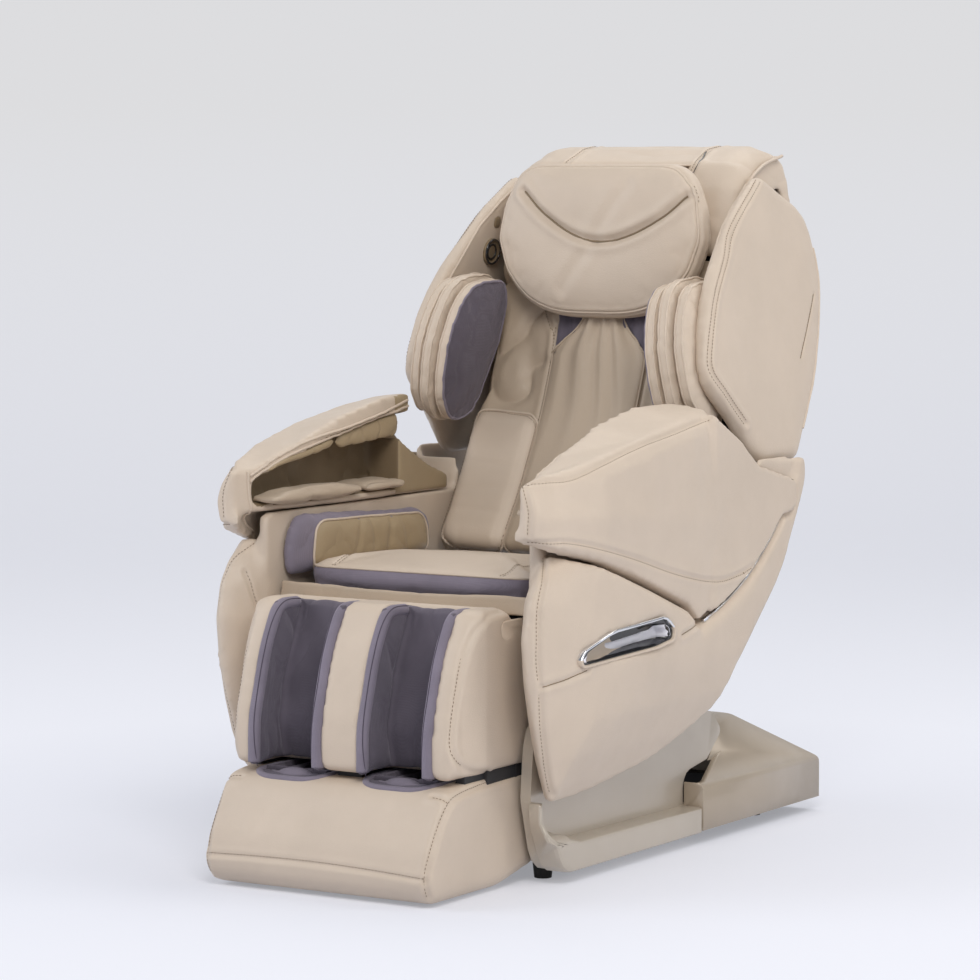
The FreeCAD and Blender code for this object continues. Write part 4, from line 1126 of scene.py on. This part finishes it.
def make_seat():
    obj = even("seat_cushion", 6, 14)
    slope = Vector((0, 0.05, 1)).normalized()
    seam_at = (0, -322, 516)
    rim = girdle(surface(obj), (0, -110, 505.4), (1, 0, 0), (0, 1, -0.05), 260)
    inflated(obj, 7, 1.6, [rim])
    sliced(obj, seam_at, slope)
    paint(obj, "leather", "fabric_light",
          pick=lambda c, n: (c - np.array(seam_at)) @ np.array(slope) < 0)
    finer(obj)
    tops = mirrored_paths([[(172, -318, 524), (172, -290, 533), (172, -200, 533),
                            (172, -60, 526), (172, 90, 512)]])
    thread = sewn(obj, "seat_seam", tops, 4, 1.8, 0.8, 14, (3.0, -3.0))
    rim = ringed(girdle(surface(obj), (0, -110, 505.4), (1, 0, 0), (0, 1, -0.05), 260))
    pipe = tube("seat_pipe", rim, 2.2, 8, "leather", 0.4, True)
    single("seat_cushion", [(obj, "leather", 0.8)] + trims(thread + [pipe]))
    flap = finer(even("seat_flap", 4, 6))
    co = points_of(flap)
    sag = np.clip((co[:, 2] / mm - 468) / 32, 0, 1)
    co[:, 2] -= (12 + 2.5 * np.cos(co[:, 0] / mm / 75)) * mm * sag
    put_points(flap, co)
    creased(flap, 1.4, 90, (1, 1, 0.4), 6.0)
    # Painted shade: the flap under the seat's front is painted with the darker leather.
    paint(flap, "leather_dark")
    single("seat_flap", [(flap, "leather", 0.4)])


def make_arms():
    obj = finer(even("arm_shell_left", 7, 16))
    upper = [(290, -446, 694), (318, -410, 694), (341, -347, 698), (361, -198, 735),
             (368, -54, 757), (370, 60, 778)]
    lower = [(300, -446, 596), (323, -433, 593), (345, -389, 592), (365, -315, 577),
             (373, -209, 551), (377, -69, 513), (376, 63, 489), (378, 148, 492), (378, 200, 502)]
    nose = [(296, -446, 694), (304, -450, 670), (311, -452, 643), (308, -446, 606)]
    front = [(280, -416, 684), (279, -416, 655), (282, -412, 628), (300, -392, 596),
             (318, -350, 574)]
    thread = sewn(obj, "arm_left_seam", [upper, lower, nose], 4.0, 2.0, 1.4, 18, (3.2,))

    # Painted shade: the arm's hollow (inner wall, shelf, underside and elbow) is painted with the
    # darker brown leather, and its rear inner faces with the warm leather, where shade falls.
    def lining_and_shade(c, n):
        wall = (n[:, 0] < -0.45) & (c[:, 2] > 622) & (c[:, 1] > -398) & (c[:, 0] > 292)
        shelf = (n[:, 2] > 0.5) & (c[:, 2] < 646) & (c[:, 1] > -398)
        lid = (n[:, 2] < -0.4) & (c[:, 2] > 655)
        elbow = (n[:, 1] < -0.3) & (c[:, 1] > 0) & (c[:, 2] > 620) & (c[:, 0] < 345)
        rear = (n[:, 0] < -0.45) & (c[:, 0] < 292) & (c[:, 1] > 24) & (c[:, 2] > 616)
        return np.where(rear, 2, (wall | shelf | lid | elbow).astype(int))

    paint(obj, "leather", "lining_and_shade", "leather_warm", pick=lining_and_shade)

    def hollow(co, normal):
        deep = (co[:, 0] < 345) & (co[:, 2] > 632) & (co[:, 2] < 770) & (co[:, 1] > -385)
        back = (normal[:, 0] < -0.5) | (normal[:, 2] < -0.5)
        return (deep & back).astype(float) * np.clip((co[:, 0] - 285) / 20, 0, 1)

    creased(obj, 5, 90, (1, 0.8, 1), 7.7, hollow, 2.6)
    tree = surface(obj)
    edge = [(262, -416, 676), (262, -380, 694), (262, -329, 713), (258, -252, 730),
            (256, -103, 751), (258, 79, 783)]
    low_edge = [(x + 4, y + 4, z - 11) for x, y, z in edge]
    pipes = [tube(f"arm_left_pipe_{k}", laid(tree, path), 2.6, 8, "leather", 0.4)
             for k, path in enumerate((edge, low_edge, front))]
    first = strip("arm_left_flap_0", [(272, -372, 688), (272, -329, 702), (270, -252, 716),
                                      (268, -168, 732)], (10, 20), 15, "leather_warm")
    second = strip("arm_left_flap_1", [(272, -160, 734), (272, -103, 742), (270, -20, 756),
                                       (274, 50, 766)], (26, 46), 14, "leather_warm")
    for flap in (first, second):
        subdivided(flap)
        creased(flap, 2, 50, (1, 1, 1), 9.0)
    handed("arm_shell", [(obj, "leather", 0.9), (first, "leather_dark", 0.6),
                         (second, "leather_dark", 0.6)] + trims(thread + pipes))
    bags = even("arm_airbags_left", 4, 10)
    inflated(bags, 5, 2.5)
    finer(bags)
    creased(bags, 2.4, 70, (1, 0.6, 1), 5.1)
    paint(bags, "leather_dark")
    handed("arm_airbags", [(bags, "leather_dark", 0.5)])


def notched(piece):
    """Gives the lip of a base cover its round inner corner and its narrow, leaning end."""
    def divided(bm):
        bmesh.ops.triangulate(bm, faces=bm.faces)
        for step in range(5):
            long = [e for e in bm.edges if e.calc_length() > 0.011
                    and all(v.co.x > 0.2605 and v.co.y < -0.27 for v in e.verts)]
            bmesh.ops.subdivide_edges(bm, edges=long, cuts=1)
            bmesh.ops.triangulate(bm, faces=bm.faces)

    reworked(piece, divided)
    co = points_of(piece)
    x, y, z = (co / mm).T
    slant = np.interp(z, (72, 146), (-296, -359))
    turn = np.clip((108 - z) / 36, 0, 1)
    wanted = -359 + 44 * (1 - np.sqrt(1 - turn ** 2)) + np.clip((76 - z) / 4, 0, 1) * 19
    share = np.clip((y + 371) / (slant + 371), 0, 1)
    moved = (x > 261.5) * (z > 72) * (y < slant + 2)
    co[:, 1] += moved * share * (wanted - slant) * mm
    lean = np.clip((z - 74) / 38, 0, 1) * (x > 264) * (y < -280)
    co[:, 0] -= (x - 262) * 0.5 * lean * mm
    put_points(piece, co)
    piece.data.set_sharp_from_angle(angle=math.radians(32))
    modified(piece, "WEIGHTED_NORMAL", keep_sharp=True, weight=100)


def make_sides():
    obj = finer(even("side_panel_left", 7, 16))
    nose = [(280, -335, 560), (298, -385, 556), (316, -415, 529), (321, -439, 486),
            (323, -446, 440), (323, -446, 395), (325, -440, 349), (320, -430, 300),
            (318, -422, 269), (313, -397, 193), (312, -380, 165)]
    crease = [[(326, -437, 354), (345, -400, 362), (362, -368, 370), (368, -350, 375)],
              [(382, -62, 406), (379, -8, 417), (376, 16, 420)]]
    thread = sewn(obj, "side_left_nose", [nose])
    folds = [laid(surface(obj), part) for part in crease]
    sewn(obj, "side_left_crease", crease, 4.0, 2.2, 1.5, 20, ())
    # Painted shade: thin dark lines sunk into the crease grooves.
    thread += [tube(f"side_left_fold_{k}", fold, 0.8, 6, "lining_and_shade", -1.2)
               for k, fold in enumerate(folds)]
    paint(obj, "leather")
    inner = [[(266, -430, 520), (266, -400, 440), (266, -340, 360), (266, -250, 300)]]
    thread += sewn(obj, "side_left_inner", inner, 4.0, 2.2, 1.5, 20, (3.0,))
    handed("side_panel", [(obj, "leather", 0.9)] + trims(thread))
    for stem, width in (("side_trim", 0.8), ("grip_bezel", 1.4), ("grip_insert", 1.5),
                        ("base_side_cover", 1.6)):
        piece = fine_copy(f"{stem}_left", width)
        made = [piece]
        if stem == "grip_bezel":
            sliced(piece, (380, -370, 393), Vector((0, -0.11, 1)).normalized())
            paint(piece, "bright", "leather",
                  pick=lambda c, n: c[:, 2] < 393 + (c[:, 1] + 370) * 0.11)
        elif stem == "grip_insert":
            # Painted highlight: a near-white band laid along the grip insert.
            shine = rounded([(-361, 393), (-341, 408), (-241, 411), (-167, 417), (-137, 421),
                             (-124, 431), (-108, 424), (-102, 409), (-124, 406), (-189, 401),
                             (-255, 396), (-360, 388)], 4)
            made.append(patch("grip_band_left", surface(piece), shine, (-1, 0, 0),
                              "satin", 0.4, 3, 4, 0.5)[0])
        elif stem == "base_side_cover":
            notched(piece)
        if stem.startswith("grip"):
            for part in made:
                co = points_of(part)
                co[:, 0] -= np.interp(co[:, 1] / mm, (-405, -340, -260, -160),
                                      (33, 16, 6, 0)) * mm
                put_points(part, co)
        handed(stem, trims(made, slot_of_node[f"{stem}_left"]))
    hip = even("hip_pad_left", 5, 12)
    inflated(hip, 5, 2.0)
    finer(hip)
    creased(hip, 1.6, 60, (1, 1, 1), 2.9)
    paint(hip, "fabric_light")
    outline = rounded([(-288, 503), (-276, 590), (88, 578), (104, 503)], 34, 6)

    def folds(y, z):
        out = 0
        for at, tilt, high in ((-150, 0.35, 3), (-96, -0.2, 4), (-48, 0.25, 4), (6, -0.3, 3)):
            out = out - high * np.exp(-((y - at - tilt * (z - 545)) / 8) ** 2)
        return out * np.clip((z - 505) / 30, 0.3, 1)

    face, line = patch("hip_face_left", surface(hip), outline, (1, 0, 0), "leather_warm", 6, 12,
                       4, 0.6, folds)
    pipe = tube("hip_pipe_left", line, 2.2, 8, "leather", 0.6, True)
    handed("hip_pad", [(hip, "fabric", 0.6), (face, "leather_dark", 0.6)] + trims([pipe]))


# Leg and foot rests

def make_legs():
    obj = finer(even("leg_rest", 7, 14))
    seam = [(216, -392, 474), (217, -440, 468), (219, -476, 451), (217, -504, 413),
            (217, -527, 350), (217, -545, 275), (219, -537, 242), (216, -500, 224),
            (216, -440, 216)]
    thread = sewn(obj, "leg_seam", mirrored_paths([seam]))
    co = points_of(obj)
    flank = np.clip((np.abs(co[:, 0]) / mm - 205) / 12, 0, 1)
    flank *= np.clip((co[:, 1] / mm + 520) / 60, 0, 1)
    co[:, 2] -= 10 * mm * np.clip((250 - co[:, 2] / mm) / 30, 0, 1)
    co[:, 0] += np.sign(co[:, 0]) * 10 * mm * flank
    tail = np.clip((np.abs(co[:, 0]) / mm - 150) / 30, 0, 1)
    co[:, 1] += 16 * mm * tail * np.clip((co[:, 1] / mm + 400) / 60, 0, 1)
    put_points(obj, co)
    paint(obj, "leather")
    single("leg_rest", [(obj, "leather", 0.9)] + trims(thread))

    liner = even("leg_liner_left", 4, 10)
    inflated(liner, 4, 2.0)
    finer(liner)

    def deep(co, normal):
        return np.clip((co[:, 1] + 556 - 0.25 * (co[:, 2] - 214)) / 40, 0, 1)

    creased(liner, 3.4, 70, (1, 1, 0.5), 8.3, deep, 2.4)
    co = points_of(liner)
    co[:, 2] -= 14 * mm * np.clip((245 - co[:, 2] / mm) / 25, 0, 1)
    put_points(liner, co)
    paint(liner, "fabric")
    tree = surface(liner)
    made = [(liner, "fabric", 0.5)]
    for k, x in enumerate((50, 170)):
        rim = [(x, y, z) for y, z in (
            (-424, 468), (-450, 470), (-476, 471), (-505, 440), (-524, 398), (-540, 350),
            (-554, 300), (-559, 260), (-555, 219), (-552, 201))]
        line = calm(laid(tree, rim, 4), 40)
        rim = tube(f"leg_rim_left_{k}", line, 10.5, 14, "fabric_light", -4.5)
        made.append((rim, "fabric", 0.6))
        made += trims([tube(f"leg_rim_seam_left_{k}", line, 0.9, 6, "thread_dark", 5.8)],
                      "fabric")
    handed("leg_liner", made)

    foot = finer(even("foot_rest", 7, 14))
    side = [(219, -328, 190), (222, -400, 189), (224, -473, 184), (224, -530, 178),
            (224, -561, 168), (222, -589, 134), (220, -617, 83), (220, -628, 50),
            (219, -618, 20)]
    band = [(-220, -628, 54), (-110, -630, 58), (0, -630, 59), (110, -630, 56), (220, -628, 50)]
    tie = [(193, -565, 180), (224, -561, 170)]
    thread = sewn(foot, "foot_seam", mirrored_paths([side, tie]))
    thread += sewn(foot, "foot_band", [band], 4.0, 2.0, 1.2, 18, (-3.0,))
    sole = rounded([(36, -330), (36, -556), (180, -556), (180, -330)], 48, 6)
    paint(foot, "leather", "fabric",
          pick=lambda c, n: inside(sole, np.abs(c[:, 0]), c[:, 1]) & (c[:, 2] > 150))
    # Painted shade: dark blocks fill the gaps between the leg rest and the foot rest, where only
    # shadow shows.
    shade_blocks = [block(f"foot_boot_{k}", low, high, "housing") for k, (low, high) in enumerate((
        ((-222, -352, 182), (222, -346, 232)), ((196, -500, 182), (214, -340, 208)),
        ((-214, -500, 182), (-196, -340, 208)), ((-24, -520, 182), (24, -340, 208)),
        ((208, -440, 182), (221, -330, 206)), ((-221, -440, 182), (-208, -330, 206))))]
    single("foot_rest", [(foot, "leather", 0.9)] + trims(thread) + trims(shade_blocks, "fabric"))

    liner = finer(even("foot_liner_left", 4, 8))
    creased(liner, 2.0, 50, (1, 1, 1), 4.8)
    paint(liner, "fabric")
    made = [(liner, "fabric", 0.5)]
    tree = surface(foot)
    for k, (grow, radius) in enumerate(((0, 6.5), (-22, 6.0))):
        ring = rounded([(36 - grow, -380), (36 - grow, -556 - grow), (180 + grow, -556 - grow),
                        (180 + grow, -380)], 48 + grow, 6)
        line = []
        for p in along(ring, 4)[:-1]:
            if p[1] > -384:
                continue
            at = Vector((p[0] * mm, p[1] * mm, 0.6))
            spot = tree.ray_cast(at, Vector((0, 0, -1)))[0]
            z = 0.186 if spot is None or spot.z < 0.17 else spot.z
            line.append((np.array((at.x, at.y, z - 0.003 * k)), np.array((0, 0, 1.0))))
        rim = tube(f"foot_rim_left_{k}", line, radius, 10, "fabric_light", -radius * 0.35)
        made.append((rim, "fabric", 0.5))
    verts = []
    rows, turns = 9, 28
    for r in range(rows):
        rise = math.radians(90 * r / (rows - 1))
        for t in range(turns):
            turn = math.tau * t / turns
            verts.append(((108 + 42 * math.cos(rise) * math.cos(turn)) * mm,
                          (-526 + 21 * math.cos(rise) * math.sin(turn)) * mm,
                          (176 + 21 * math.sin(rise)) * mm))
    tongue = new_object("foot_tongue_left", verts, skin(rows, turns), "fabric_light")
    made.append((tongue, "fabric", 0.6))
    handed("foot_liner", made)


def make_base():
    chassis = fine_copy("seat_frame", 1.0)
    paint(chassis, "frame", "leather",
          pick=lambda c, n: (np.abs(c[:, 0]) > 219) & (c[:, 1] < -330))
    single("seat_frame", trims([chassis], "frame"))
    nodes["foot_slides"].data.materials[0] = MAT["frame"]
    # Painted shade: the rear cover takes a darker copy of the cover plastic.
    piece = paint(fine_copy("rear_cover", 1.6), "cover_rear_shaded")
    single("rear_cover", trims([piece], "cover"))


for node_name, obj in nodes.items():
    obj.data.materials.clear()
    obj.data.materials.append(MAT[slot_of_node[node_name]])

make_pillow()
make_hood()
make_wings()
make_back()
make_seat()
make_arms()
make_sides()
make_legs()
make_base()
